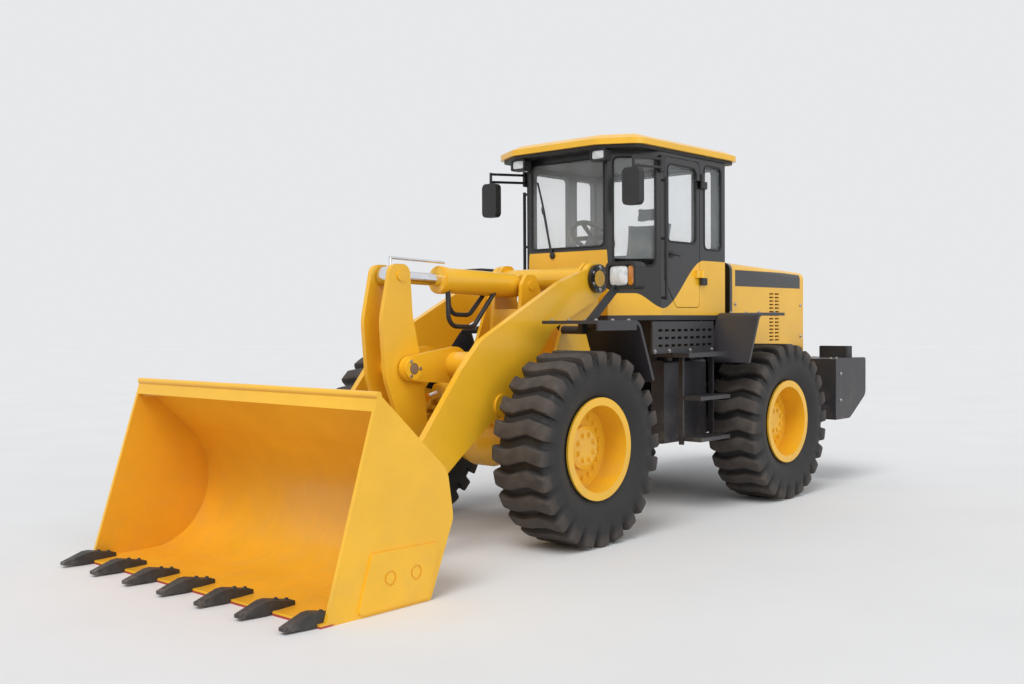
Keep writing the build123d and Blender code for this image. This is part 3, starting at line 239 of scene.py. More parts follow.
def cab_line(shop, x):
    """Height of the curved edge between the cab's yellow skirt and its black upper walls."""
    return SKIRT_TOP - shop.ramp(x, *SKIRT_DIP_X) * SKIRT_DIP + shop.ramp(x, *SKIRT_RISE_X) * SKIRT_RISE


def two_tone(shop, height, yellow, black):
    """Yellow below a line and black above it, by the height over that line."""
    above = shop.ramp(height, -PAINT_EDGE, PAINT_EDGE)
    return sprayed(shop, shop.blend(above, mottled(shop, yellow), mottled(shop, black)), 0.30, 0.0)


def cab_paint(name, yellow, black):
    """The cab walls: yellow below a curved line and black above it."""
    shop = PaintShop(name)
    x, z = shop.axes(shop.from_pivot())[::2]
    return two_tone(shop, z - cab_line(shop, x), yellow, black)


def cab_front_paint(name, yellow, black):
    """The cab's front wall: black pillars over a yellow panel, and the side walls' line on its quarters."""
    shop = PaintShop(name)
    x, y, z = shop.axes(shop.from_pivot())
    quarter = shop.ramp(y.size(), *FRONT_QUARTER_Y)
    line = FRONT_PANEL_TOP + quarter * (cab_line(shop, x) - FRONT_PANEL_TOP)
    return two_tone(shop, z - line, yellow, black)


HOOD_LEAD_X = -1.19
HOOD_STRIPE_X = (-2.46, -1.24)
HOOD_STRIPE_Z = (1.86, 2.005)
HOOD_SIDE_Y = (0.585, 0.59)


def hood_paint(name, yellow, black):
    """The engine hood: yellow with a black leading band and a dark stripe high on each side."""
    shop = PaintShop(name)
    x, y, z = shop.axes(shop.from_pivot())
    lead = shop.ramp(x, HOOD_LEAD_X - PAINT_EDGE, HOOD_LEAD_X + PAINT_EDGE)
    stripe = shop.band(z, *HOOD_STRIPE_Z, PAINT_EDGE) * shop.band(x, *HOOD_STRIPE_X, PAINT_EDGE)
    stripe = stripe * shop.ramp(y.size(), *HOOD_SIDE_Y)
    dark = (lead + stripe).clamped()
    return sprayed(shop, shop.blend(dark, mottled(shop, yellow), mottled(shop, black)), 0.28, 0.1, 0.4)


# The bucket's hollow, as its middle's x and z, and its lip's red edge
HOLLOW_X = 3.45
HOLLOW_Z = 0.48
LIP_X = (3.80, 3.83)
LIP_Z = (0.010, 0.013)
LIP_RED = (0.42, 0.055, 0.04)


def bucket_paint(name, yellow, inside):
    """The bucket: yellow outside, painted shade in its hollow as a darker copy of the yellow with faint
    scuffs, and a red edge below its lip.
    """
    shop = PaintShop(name)
    spot = shop.from_pivot()
    x, y, z = shop.axes(spot)
    nx, ny, nz = shop.axes(shop.node("ShaderNodeTexCoord", result="Normal"))
    facing = nx * (x - HOLLOW_X) + nz * (z - HOLLOW_Z) + ny * y * 4.0
    hollow = 1.0 - shop.ramp(facing, -0.02, 0.02)
    scuffs = shop.ramp(shop.noise(shop.place(scale=(1.0, 6.0, 1.0)), 5.0, 6.0), 0.52, 0.75) * hollow
    # Painted shade: faces turned into the bucket's hollow take a darker copy of the yellow
    coat = shop.blend(hollow, mottled(shop, yellow), mottled(shop, inside))
    coat = shop.blend(scuffs * 0.22, coat, shade(yellow, 1.08))
    red = shop.ramp(x, *LIP_X) * (1.0 - shop.ramp(z, *LIP_Z))
    return sprayed(shop, shop.blend(red, coat, LIP_RED), 0.34, 0.12, 0.2)


# Rings painted round the boom's pivots and the linkage's pins, by their radii
PIVOT_RING = (0.062, 0.120)
PIVOT_RING_Y = (0.499, 0.500)
PIN_END = (0.033, 0.034)
PIN_GROOVE = (0.034, 0.039)
RING_EDGE = 0.001


def around(shop, pin):
    """Distance from a pin that lies along Y, and the place along it."""
    x, y, z = shop.axes(shop.place((-pin[0], 0.0, -pin[2])))
    return (x * x + z * z).root(), y


def tower_paint(name, pivot, yellow, black):
    """The front frame: yellow, with a black ring on the boom pivots' outer caps."""
    shop = PaintShop(name)
    reach, y = around(shop, pivot)
    ring = shop.band(reach, *PIVOT_RING, RING_EDGE) * shop.ramp(y.size(), *PIVOT_RING_Y)
    return sprayed(shop, shop.blend(ring, mottled(shop, yellow), mottled(shop, black)))


def pin_paint(name, pin, yellow, steel):
    """A capped pin: a painted cap round a bare steel end with a dark groove between them."""
    shop = PaintShop(name)
    reach = around(shop, pin)[0]
    bare = 1.0 - shop.ramp(reach, *PIN_END)
    groove = shop.band(reach, *PIN_GROOVE, RING_EDGE)
    tone = shop.blend(bare, mottled(shop, yellow), steel)
    shop.put(Metallic=bare * 0.85)
    return sprayed(shop, shop.blend(groove, tone, (0.05, 0.035, 0.02)), 0.36, 0.2, 0.1)


WALL_RINGS = (0.37, 0.53)


def rubber(name, colour, dust):
    """Tyre rubber: dusty lugs, fine pores and moulded rings on the side walls."""
    shop = PaintShop(name)
    spot = shop.place()
    lug = shop.grain("lug")
    reach = shop.grain("reach")
    cloud = shop.noise(spot, 9.0, 6.0)
    dusty = (lug * (0.45 + shop.ramp(cloud, 0.3, 0.7) * 0.5) + shop.ramp(cloud, 0.5, 0.85) * 0.18).clamped()
    shop.put(Base_Color=shop.blend(dusty, colour, dust))
    shop.put(Roughness=(0.55 + dusty * 0.3).clamped(), Specular_IOR_Level=0.35)
    rings = (reach * 420.0).sine() * shop.band(reach, *WALL_RINGS, 0.01) * 0.6
    pores = shop.noise(spot, 170.0, 3.0)
    shop.put(Normal=shop.bump(rings + pores * 0.5, 0.35, 0.003))
    return shop.material


TOOTH_TIP_X = (3.98, 4.09)


def cast_iron(name, colour):
    """Dark castings with a grainy skin, and the ends of the teeth painted lighter as a painted highlight,
    also made smoother and partly metallic.
    """
    shop = PaintShop(name)
    spot = shop.from_pivot()
    x = shop.axes(spot)[0]
    # Painted highlight: the ends of the teeth are painted lighter, and also made smoother and partly metallic
    tip_highlight = shop.ramp(x, *TOOTH_TIP_X) * shop.ramp(shop.noise(spot, 30.0, 5.0), 0.35, 0.7)
    skin = shop.ramp(shop.noise(spot, 14.0, 5.0), 0.3, 0.7)
    body = shop.blend(skin, shade(colour, 0.8), shade(colour, 1.25))
    shop.put(Base_Color=shop.blend(tip_highlight * 0.55, body, (0.24, 0.22, 0.20)))
    shop.put(Roughness=(0.62 - tip_highlight * 0.2).clamped(), Metallic=tip_highlight * 0.6)
    shop.put(Normal=shop.bump(shop.noise(spot, 130.0, 4.0), 0.3, 0.0015))
    return shop.material


def bright_steel(name, colour, roughness, lines):
    """Bare metal with fine turning lines."""
    shop = PaintShop(name)
    spot = shop.place()
    tone = shop.ramp(shop.noise(spot, 11.0, 4.0), 0.3, 0.7)
    scratch = shop.noise(shop.place(scale=(lines, 8.0, lines)), 4.0, 3.0)
    shop.put(Base_Color=shop.blend(tone, shade(colour, 0.9), shade(colour, 1.05)), Metallic=1.0)
    shop.put(Roughness=(roughness + shop.ramp(scratch, 0.3, 0.8) * 0.10).clamped())
    shop.put(Normal=shop.bump(scratch, 0.04, 0.0004))
    return shop.material


def moulded(name, colour, roughness=0.5):
    """Black plastic and rubber mouldings with a leathery grain."""
    shop = PaintShop(name)
    spot = shop.place()
    bloom = shop.ramp(shop.noise(spot, 6.0, 5.0), 0.35, 0.8)
    shop.put(Base_Color=shop.blend(bloom, shade(colour, 0.85), shade(colour, 1.5)))
    shop.put(Roughness=(roughness + bloom * 0.12).clamped())
    pits = shop.node("ShaderNodeTexVoronoi", None, {"Vector": spot, "Scale": 420.0})
    shop.put(Normal=shop.bump(pits, 0.12, 0.0005))
    return shop.material


GLASS_FILM_Z = (2.1, 2.5)


def window_glass(name, tint):
    """Cab glass: clear, faintly tinted, with a dusty film towards its lower edge."""
    shop = PaintShop(name)
    spot = shop.from_pivot()
    z = shop.axes(spot)[2]
    film = (1.0 - shop.ramp(z, *GLASS_FILM_Z)) * shop.ramp(shop.noise(spot, 5.0, 5.0), 0.35, 0.75)
    shop.put(Base_Color=shop.blend(film, tint, (0.66, 0.66, 0.62)))
    shop.put(Alpha=(0.11 + film * 0.10).clamped(), Roughness=(0.03 + film * 0.1).clamped(), Coat_Weight=0.5)
    return shop.material


def lamp_glass(name, colour, deep):
    """Lamp lenses with fluted bands; their colour is a painted reflection of a reflector behind them, a
    bright and a deep tone mixed by noise and the flutes.
    """
    shop = PaintShop(name)
    spot = shop.place()
    y = shop.axes(spot)[1]
    flutes = (y * 520.0).sine() * 0.5 + 0.5
    reflector_shine = shop.ramp(shop.noise(spot, 16.0, 2.0), 0.35, 0.7)
    # Painted reflection: the bright and the deep tone, mixed by noise and the flutes, stand in for a
    # reflector's shine behind the lens
    shop.put(Base_Color=shop.blend((reflector_shine * 0.6 + flutes * 0.25).clamped(), deep, colour))
    shop.put(Roughness=(0.06 + reflector_shine * 0.06).clamped(), Coat_Weight=0.6, Specular_IOR_Level=0.6)
    shop.put(Normal=shop.bump(flutes, 0.25, 0.0012))
    return shop.material


def mirror_glass(name):
    """Silvered glass with faint smears."""
    shop = PaintShop(name)
    smear = shop.ramp(shop.noise(shop.place(scale=(1.0, 1.0, 0.3)), 12.0, 4.0), 0.45, 0.8)
    shop.put(Base_Color=shop.blend(smear, (0.82, 0.85, 0.87), (0.70, 0.72, 0.73)), Metallic=1.0)
    shop.put(Roughness=(0.03 + smear * 0.10).clamped())
    return shop.material


def seat_cloth(name, colour):
    """Woven seat cloth: two crossing threads, a melange of tones and dark piping along the seams."""
    shop = PaintShop(name)
    spot = shop.place()
    x, y, z = shop.axes(spot)
    warp = (y * 1500.0).sine()
    weft = ((x + z) * 1500.0).sine()
    weave = warp * weft * 0.5 + 0.5
    melange = shop.noise(spot, 160.0, 2.0)
    tone = shop.blend(shop.ramp(melange, 0.3, 0.7), shade(colour, 0.75), shade(colour, 1.25))
    tone = shop.blend(weave * 0.35, tone, shade(colour, 0.55))
    shop.put(Base_Color=shop.blend(shop.grain("seam"), tone, (0.02, 0.02, 0.02)))
    shop.put(Roughness=(0.82 + weave * 0.1).clamped(), Sheen_Weight=0.25, Sheen_Roughness=0.5)
    shop.put(Normal=shop.bump(weave + shop.noise(spot, 40.0, 3.0) * 0.6, 0.3, 0.0012))
    return shop.material


def wear(piece, material):
    """Sets a piece's only material."""
    piece.data.materials.clear()
    piece.data.materials.append(material)


def finish_of(name):
    """A finish that the paint step has made."""
    return bpy.data.materials[name]


def fit_piece(name, mesh, body, finish, crease=math.radians(40.0)):
    """Makes a mesh a piece that rides on a body."""
    mesh.shade_smooth()
    mesh.set_sharp_from_angle(angle=crease)
    piece = bpy.data.objects.new(name, mesh)
    bpy.context.scene.collection.objects.link(piece)
    wear(piece, finish_of(finish))
    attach(piece, body)
    return piece


def mesh_of(name, shape):
    """Closes a bmesh into a mesh with its faces outwards."""
    bmesh.ops.recalc_face_normals(shape, faces=shape.faces)
    mesh = bpy.data.meshes.new(name)
    shape.to_mesh(mesh)
    shape.free()
    return mesh


def sweep(shape, path, widths, heights, up, sides=10, closed=False):
    """A bar along a path, with an oval section that may change along it."""
    count = len(path)
    rings = []
    for index, point in enumerate(path):
        before = path[index - 1] if closed or index else point
        after = path[(index + 1) % count] if closed or index + 1 < count else point
        along = (after - before).normalized()
        across = along.cross(up).normalized()
        rise = across.cross(along)
        ring = []
        for side in range(sides):
            turn = math.tau * (side + 0.5) / sides
            offset = across * (widths[index] * math.cos(turn)) + rise * (heights[index] * math.sin(turn))
            ring.append(shape.verts.new(point + offset))
        rings.append(ring)
    follow = rings[1:] + rings[:1] if closed else rings[1:]
    for ring, other in zip(rings, follow):
        for side in range(sides):
            following = (side + 1) % sides
            shape.faces.new((ring[side], ring[following], other[following], other[side]))
    if not closed:
        shape.faces.new(rings[0])
        shape.faces.new(rings[-1])


def rounded_loop(centre, across, rise, half, corner, arc=6):
    """Points round a rectangle with round corners."""
    width, height = half[0] - corner, half[1] - corner
    points = []
    for quarter, (right, top) in enumerate(((1, 1), (-1, 1), (-1, -1), (1, -1))):
        for step in range(arc + 1):
            turn = math.pi / 2 * (quarter + step / arc)
            u = right * width + corner * math.cos(turn)
            v = top * height + corner * math.sin(turn)
            points.append(centre + across * u + rise * v)
    return points


PILLOW_RINGS = ((1.0, 0.0), (1.0, 0.7), (0.97, 1.0), (0.85, 1.0), (0.65, 1.0), (0.42, 1.0), (0.2, 1.0))


def pillow(shape, centre, across, rise, half, depth, crown, square=5.0, steps=48):
    """A crowned panel with a rounded outline, standing out from its centre along across x rise."""
    out = across.cross(rise)
    rings = []
    for reach, wall in PILLOW_RINGS:
        ring = []
        for step in range(steps):
            turn = math.tau * step / steps
            cosine, sine = math.cos(turn), math.sin(turn)
            u = half[0] * reach * math.copysign(abs(cosine) ** (2 / square), cosine)
            v = half[1] * reach * math.copysign(abs(sine) ** (2 / square), sine)
            lift = wall * (depth + crown * (1.0 - reach * reach))
            ring.append(shape.verts.new(centre + across * u + rise * v + out * lift))
        rings.append(ring)
    for ring, other in zip(rings, rings[1:]):
        for step in range(steps):
            following = (step + 1) % steps
            shape.faces.new((ring[step], ring[following], other[following], other[step]))
    peak = shape.verts.new(centre + out * (depth + crown))
    for step in range(steps):
        shape.faces.new((rings[-1][step], rings[-1][(step + 1) % steps], peak))
    shape.faces.new(list(reversed(rings[0])))


def colour_choice(label, about, default):
    """A colour that a user may change."""
    return bpy.props.FloatVectorProperty(
        name=label, description=about, subtype="COLOR", size=3, min=0.0, max=1.0, default=default)


def length_choice(label, about, default):
    """A length that a user may change."""
    return bpy.props.FloatProperty(name=label, description=about, unit="LENGTH", default=default)


def angle_choice(label, about, degrees):
    """An angle that a user may change."""
    return bpy.props.FloatProperty(
        name=label, description=about, subtype="ANGLE", default=math.radians(degrees))


class LoaderFinish(bpy.types.PropertyGroup):
    """Colours of the loader's finishes."""

    machine_yellow: colour_choice("Machine yellow", "Main paint", (0.86, 0.47, 0.020))
    # A darker copy of the machine yellow, painted shade for the bucket's hollow
    bucket_inside_shade: colour_choice("Bucket inside", "Paint inside the bucket", (0.84, 0.42, 0.024))
    charcoal: colour_choice("Charcoal", "Paint of frames, fenders and counterweight", (0.028, 0.026, 0.030))
    cab_black: colour_choice("Cab black", "Paint of the cab's upper walls", (0.010, 0.010, 0.011))
    rubber: colour_choice("Rubber", "Tyre side walls", (0.018, 0.017, 0.017))
    lug_dust: colour_choice("Lug dust", "Dust on the tyres' lugs", (0.085, 0.070, 0.060))
    seat: colour_choice("Seat cloth", "Operator's seat", (0.085, 0.095, 0.085))


class LoaderTyre(bpy.types.PropertyGroup):
    """Sizes of the tyres' tread."""

    lugs: bpy.props.IntProperty(name="Lugs", description="Lugs round a tyre", default=24, min=8)
    lug_half: length_choice("Half lug", "Half of a lug's length along the tread", 0.050)
    lug_slope: length_choice("Lug slope", "Length of a lug's sloping side", 0.009)
    tread_reach: length_choice("Tread reach", "Radius at which the lugs are laid out", 0.655)


class LoaderTrim(bpy.types.PropertyGroup):
    """Sizes of the small trim."""

    wheel_bolt: length_choice("Wheel bolt", "Radius of a wheel bolt's head", 0.016)
    plate_bolt: length_choice("Plate bolt", "Radius of a plate bolt's head", 0.012)
    seal: length_choice("Seal", "Half width of a window seal", 0.009)
    lens_crown: length_choice("Lens crown", "How far a headlamp's lens stands out", 0.010)
    cushion_swell: length_choice("Cushion swell", "Most that the seat's cloth may swell", 0.014)


# The camera's sensor in millimetres, and the photograph's width and focal length in pixels
SENSOR = 36.0
PHOTO_WIDTH = 1024.0
PHOTO_FOCAL = 1100.1


class LoaderStage(bpy.types.PropertyGroup):
    """Where the camera stands and how it sees."""

    camera_place: bpy.props.FloatVectorProperty(
        name="Camera place", description="Camera position", subtype="XYZ", unit="LENGTH", size=3,
        default=(7.382 + PIVOT_X, 5.640, 1.554))
    camera_yaw: angle_choice("Yaw", "Heading of the view from +X", 221.776)
    camera_pitch: angle_choice("Pitch", "Rise of the view", -1.058)
    camera_roll: angle_choice("Roll", "Turn about the view", -0.283)
    lens: bpy.props.FloatProperty(
        name="Lens", description="Focal length on the camera's sensor", unit="CAMERA",
        default=SENSOR * PHOTO_FOCAL / PHOTO_WIDTH)


PINS = {"rocker_pin": "rocker_level", "link_pin": "link_level", "bucket_pins": "bucket_level"}
SLOT_FINISH = {
    "yellow_paint": "machine_yellow", "bucket_paint": "bucket_coat", "charcoal_paint": "charcoal",
    "dark_cast": "cast_iron", "glass": "window_glass", "black_plastic": "moulding", "chrome_rod": "chrome",
    "pin_steel": "bare_steel", "seat_fabric": "seat_cloth", "tyre": "rubber",
}
NODE_FINISH = {
    "cab_side_left": "cab_walls", "cab_side_right": "cab_walls", "cab_rear": "cab_walls", "door": "cab_walls",
    "cab_front": "cab_front", "hood": "hood_coat", "front_axle": "machine_yellow", "door_hinges": "moulding",
    "roof_liner": "moulding", "front_frame": "tower_coat",
}


class LOADER_OT_paint(bpy.types.Operator):
    """Mixes the finishes and gives every solid its own"""
    bl_idname = "loader.paint"
    bl_label = "Paint the solids"

    def execute(self, context):
        coats = context.scene.loader_finish
        yellow, black = tuple(coats.machine_yellow), tuple(coats.cab_black)
        paint("machine_yellow", yellow)
        paint("charcoal", tuple(coats.charcoal), 0.42, 0.5, 0.1)
        cab_paint("cab_walls", yellow, black)
        cab_front_paint("cab_front", yellow, black)
        hood_paint("hood_coat", yellow, black)
        tower_paint("tower_coat", JOINTS["boom_lift"]["pos_m"], yellow, black)
        bucket_paint("bucket_coat", yellow, tuple(coats.bucket_inside_shade))
        rubber("rubber", tuple(coats.rubber), tuple(coats.lug_dust))
        cast_iron("cast_iron", (0.035, 0.033, 0.031))
        bright_steel("bare_steel", (0.42, 0.40, 0.38), 0.34, 60.0)
        bright_steel("chrome", (0.80, 0.81, 0.83), 0.10, 120.0)
        moulding = (0.016, 0.016, 0.017)
        moulded("moulding", moulding)
        moulded("seal_rubber", shade(moulding, 0.7), 0.62)
        window_glass("window_glass", (0.80, 0.86, 0.87))
        lamp_glass("clear_lens", (0.93, 0.95, 0.96), (0.55, 0.58, 0.60))
        lamp_glass("red_lens", (0.55, 0.02, 0.015), (0.22, 0.008, 0.006))
        lamp_glass("amber_lens", (0.90, 0.34, 0.02), (0.50, 0.15, 0.01))
        mirror_glass("mirror_glass")
        seat_cloth("seat_cloth", tuple(coats.seat))
        for node, joint in PINS.items():
            pin_paint(node + "_coat", JOINTS[joint]["pos_m"], yellow, (0.36, 0.33, 0.30))
        for name, node in NODES.items():
            own = name + "_coat" if name in PINS else NODE_FINISH.get(name)
            wear(node, finish_of(own or SLOT_FINISH[SLOTS[name]]))
        return {"FINISHED"}


# Half sections of a tyre from bead to middle, as (side reach, radius): wall, groove and lug
TYRE_WALL = (
    (0.158, 0.320), (0.160, 0.345), (0.166, 0.366), (0.186, 0.400), (0.204, 0.440), (0.2145, 0.480),
    (0.2165, 0.510),
)
GROOVE_SECTION = TYRE_WALL + (
    (0.214, 0.538), (0.210, 0.560), (0.203, 0.585), (0.194, 0.606), (0.184, 0.622), (0.170, 0.630),
    (0.150, 0.633), (0.110, 0.634), (0.060, 0.6345), (0.0, 0.635),
)
LUG_SECTION = TYRE_WALL + (
    (0.2170, 0.538), (0.2205, 0.556), (0.2225, 0.574), (0.2225, 0.616), (0.2200, 0.650), (0.2130, 0.667),
    (0.199, 0.6742), (0.150, 0.675), (0.075, 0.675), (0.0, 0.675),
)
# A lug's zigzag, as (place across, shift along the tread)
LUG_WAVE = ((-0.2225, 0.0125), (-0.11125, -0.025), (0.06675, 0.025), (0.2225, -0.0125))
DUSTY_REACH = 0.58
DUSTY_RISE = 0.05


def full_section(half):
    """Both sides of a tyre's section, from one bead to the other."""
    return [(-side, reach) for side, reach in half] + list(reversed(half[:-1]))


def wave_shift(side):
    """How far a lug's line leans along the tread at a place across it."""
    for (first, low), (last, high) in zip(LUG_WAVE, LUG_WAVE[1:]):
        if side <= last:
            share = max(0.0, (side - first) / (last - first))
            return low + (high - low) * share
    return LUG_WAVE[-1][1]


def tread_columns(tyre):
    """Places along one lug's pitch with how much of the lug stands there."""
    half, slope = tyre.lug_half, tyre.lug_slope
    rising = ((half + 1.6 * slope, 0.0), (half + slope, 0.12), (half, 0.86), (half - slope, 1.0))
    columns = [(-math.pi * tyre.tread_reach / tyre.lugs, 0.0)] + [(-place, share) for place, share in rising]
    return columns + [(0.0, 1.0)] + [(place, share) for place, share in reversed(rising)]


class LOADER_OT_tyres(bpy.types.Operator):
    """Moulds the four lugged tyres"""
    bl_idname = "loader.tyres"
    bl_label = "Mould the tyres"

    def execute(self, context):
        for place in WHEELS:
            mesh = tyre_mesh(place, context.scene.loader_tyre)
            piece = fit_piece("tread_" + place, mesh, "wheel_" + place, "rubber", math.radians(35.0))
            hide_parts("tyre_" + place)
        return {"FINISHED"}


def tyre_mesh(place, tyre):
    """A tyre on its wheel's centre: two sections blended round the tread, lug by lug."""
    centre = wheel_centre(place)
    flip = 1.0 if centre.y > 0 else -1.0
    rows = list(zip(full_section(GROOVE_SECTION), full_section(LUG_SECTION)))
    columns = tread_columns(tyre)
    points, lug_shares, reaches = [], [], []
    for lug in range(tyre.lugs):
        for along, share in columns:
            for (low_side, low_reach), (high_side, high_reach) in rows:
                side = low_side + (high_side - low_side) * share
                reach = low_reach + (high_reach - low_reach) * share
                turn = math.tau * lug / tyre.lugs + (along + wave_shift(side)) / tyre.tread_reach
                spot = Vector((reach * math.cos(turn), flip * side, reach * math.sin(turn)))
                points.append(centre + spot)
                lug_shares.append(share * min(1.0, max(0.0, (reach - DUSTY_REACH) / DUSTY_RISE)))
                reaches.append(reach)
    across, round_count = len(rows), tyre.lugs * len(columns)
    faces = []
    for column in range(round_count):
        following = (column + 1) % round_count
        for row in range(across):
            beyond = (row + 1) % across
            faces.append((column * across + row, column * across + beyond,
                          following * across + beyond, following * across + row))
    mesh = bpy.data.meshes.new("tread_" + place)
    mesh.from_pydata(points, [], faces)
    shape = bmesh.new()
    shape.from_mesh(mesh)
    bmesh.ops.recalc_face_normals(shape, faces=shape.faces)
    shape.to_mesh(mesh)
    shape.free()
    for name, values in (("lug", lug_shares), ("reach", reaches)):
        mesh.attributes.new(name, "FLOAT", "POINT").data.foreach_set("value", values)
    return mesh


# Seat pads from the articulation pin: middle, length along the pad, thickness, half width, lean from upright
SEAT_PADS = (
    ((-0.500, 1.934), 0.375, 0.118, 0.225, -88.0),
    ((-0.762, 2.225), 0.400, 0.080, 0.225, 9.0),
    ((-0.808, 2.505), 0.115, 0.062, 0.125, 7.0),
)
PAD_STEPS_ALONG = 10
PAD_STEPS_ACROSS = 12
PAD_WAIST = 0.04
PAD_EDGE = 0.45
BOLSTER_RISE = 0.016
BOLSTER_FROM = 0.55
BOLSTER_RUN = 0.45
SEAT_VOXEL = 0.008
CLOTH_FRAMES = 20
CLOTH_PRESSURE = 4.0
CLOTH_MASS = 0.3
SEAM_SIDES = (0.150, -0.150)
SEAM_WIDTH = 0.007
SEAM_DEPTH = 0.006
PIPING_SHARE = 2.2


class LOADER_OT_seat(bpy.types.Operator):
    """Stuffs the operator's seat"""
    bl_idname = "loader.seat"
    bl_label = "Stuff the seat"

    def execute(self, context):
        swell = context.scene.loader_trim.cushion_swell
        shape = bmesh.new()
        for middle, length, thickness, half_width, lean in SEAT_PADS:
            pad_blank(shape, at(middle[0], 0.0, middle[1]), length, thickness, half_width, math.radians(lean))
        blank = bpy.data.objects.new("seat_blank", mesh_of("seat_blank", shape))
        context.scene.collection.objects.link(blank)
        remesh = blank.modifiers.new("Remesh", "REMESH")
        remesh.mode = "VOXEL"
        remesh.voxel_size = SEAT_VOXEL
        settle(blank)
        inflate(context.scene, blank, swell)
        smooth = blank.modifiers.new("Smooth", "SUBSURF")
        smooth.levels = 1
        smooth.render_levels = 1
        mesh = settle(blank)
        bpy.data.objects.remove(blank)
        sew(mesh)
        piece = fit_piece("seat_cushion", mesh, "rear_frame", "seat_cloth", math.radians(60.0))
        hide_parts("seat")
        return {"FINISHED"}


def settle(thing):
    """Applies an object's modifiers to its mesh."""
    graph = bpy.context.evaluated_depsgraph_get()
    mesh = bpy.data.meshes.new_from_object(thing.evaluated_get(graph))
    thing.modifiers.clear()
    thing.data = mesh
    return mesh


def pad_blank(shape, middle, length, thickness, half_width, lean):
    """A pad before it swells: a block with side bolsters, its edges drawn in between the corners."""
    along = Vector((-math.sin(lean), 0.0, math.cos(lean)))
    front = Vector((math.cos(lean), 0.0, math.sin(lean)))
    rows, columns = PAD_STEPS_ALONG, PAD_STEPS_ACROSS
    grid = {}
    for face in (-1, 1):
        for i in range(rows + 1):
            for j in range(columns + 1):
                u = 2.0 * i / rows - 1.0
                v = 2.0 * j / columns - 1.0
                inset = 1.0 - PAD_WAIST * (1.0 - abs(u * v))
                bolster = BOLSTER_RISE * max(0.0, abs(v) - BOLSTER_FROM) / BOLSTER_RUN if face > 0 else 0.0
                edge = 1.0 - PAD_EDGE * max(abs(u), abs(v)) ** 8
                depth = face * thickness / 2 * edge + bolster
                spot = middle + along * (u * inset * length / 2) + LEFT * (v * inset * half_width)
                grid[face, i, j] = shape.verts.new(spot + front * depth)
    for face in (-1, 1):
        for i in range(rows):
            for j in range(columns):
                corners = ((i, j), (i + 1, j), (i + 1, j + 1), (i, j + 1))
                shape.faces.new([grid[face, row, column] for row, column in corners])
    rim = [(i, 0) for i in range(rows)] + [(rows, j) for j in range(columns)]
    rim += [(rows - i, columns) for i in range(rows)]
    rim += [(0, columns - j) for j in range(columns)]
    for (i, j), (k, m) in zip(rim, rim[1:] + rim[:1]):
        shape.faces.new((grid[-1, i, j], grid[-1, k, m], grid[1, k, m], grid[1, i, j]))


def inflate(scene, pad, most):
    """Lets cloth swell the pads, and holds every point within a distance of where it was."""
    before = [vertex.co.copy() for vertex in pad.data.vertices]
    cloth = pad.modifiers.new("Cloth", "CLOTH")
    cloth.settings.use_pressure = True
    cloth.settings.uniform_pressure_force = CLOTH_PRESSURE
    cloth.settings.effector_weights.gravity = 0.0
    cloth.settings.mass = CLOTH_MASS
    cloth.collision_settings.use_collision = False
    cloth.point_cache.frame_start = 1
    cloth.point_cache.frame_end = CLOTH_FRAMES
    for moment in range(1, CLOTH_FRAMES + 1):
        scene.frame_set(moment)
    mesh = settle(pad)
    for vertex, start in zip(mesh.vertices, before):
        move = vertex.co - start
        if move.length > most:
            vertex.co = start + move * (most / move.length)
    scene.frame_set(1)


def sew(mesh):
    """Presses two seams down the pads and marks their piping."""
    marks = []
    normals = [vertex.normal.copy() for vertex in mesh.vertices]
    for vertex, normal in zip(mesh.vertices, normals):
        near = min(abs(vertex.co.y - side) for side in SEAM_SIDES) / SEAM_WIDTH
        fall = max(0.0, 1.0 - near * near)
        vertex.co -= normal * (SEAM_DEPTH * fall)
        marks.append(max(0.0, 1.0 - (near * PIPING_SHARE) ** 2))
    mesh.attributes.new("seam", "FLOAT", "POINT").data.foreach_set("value", marks)


# Lenses and mirror glass: piece, body, finish, left one's place, way across, half size, depth, crown's share
LENSES = (
    ("headlamp_lenses", "front_frame", "clear_lens",
     (0.6825, 0.735, 1.895), LEFT, (0.082, 0.074), 0.006, 1.0),
    ("turn_lenses", "front_frame", "amber_lens",
     (0.6825, 0.849, 1.895), LEFT, (0.026, 0.074), 0.006, 0.6),
    ("roof_lamp_lenses", "rear_frame", "clear_lens",
     (0.5155, 0.415, 2.8525), LEFT, (0.056, 0.032), 0.003, 0.5),
    ("tail_lenses", "rear_frame", "red_lens",
     (-2.8998, 0.790, 1.245), -LEFT, (0.120, 0.038), 0.004, 0.8),
    ("mirror_faces", "rear_frame", "mirror_glass",
     (0.4662, 0.735, 2.582), -LEFT, (0.066, 0.122), 0.002, 0.3),
)


class LOADER_OT_lamps(bpy.types.Operator):
    """Sets the lenses into the lamps and the glass into the mirrors"""
    bl_idname = "loader.lamps"
    bl_label = "Set lamp lenses"

    def execute(self, context):
        crown = context.scene.loader_trim.lens_crown
        for name, body, finish, (x, y, z), across, half, depth, share in LENSES:
            shape = bmesh.new()
            for side in SIDES:
                pillow(shape, at(x, side * y, z), across, UP, half, depth, crown * share)
            fit_piece(name, mesh_of(name, shape), body, finish)
        return {"FINISHED"}


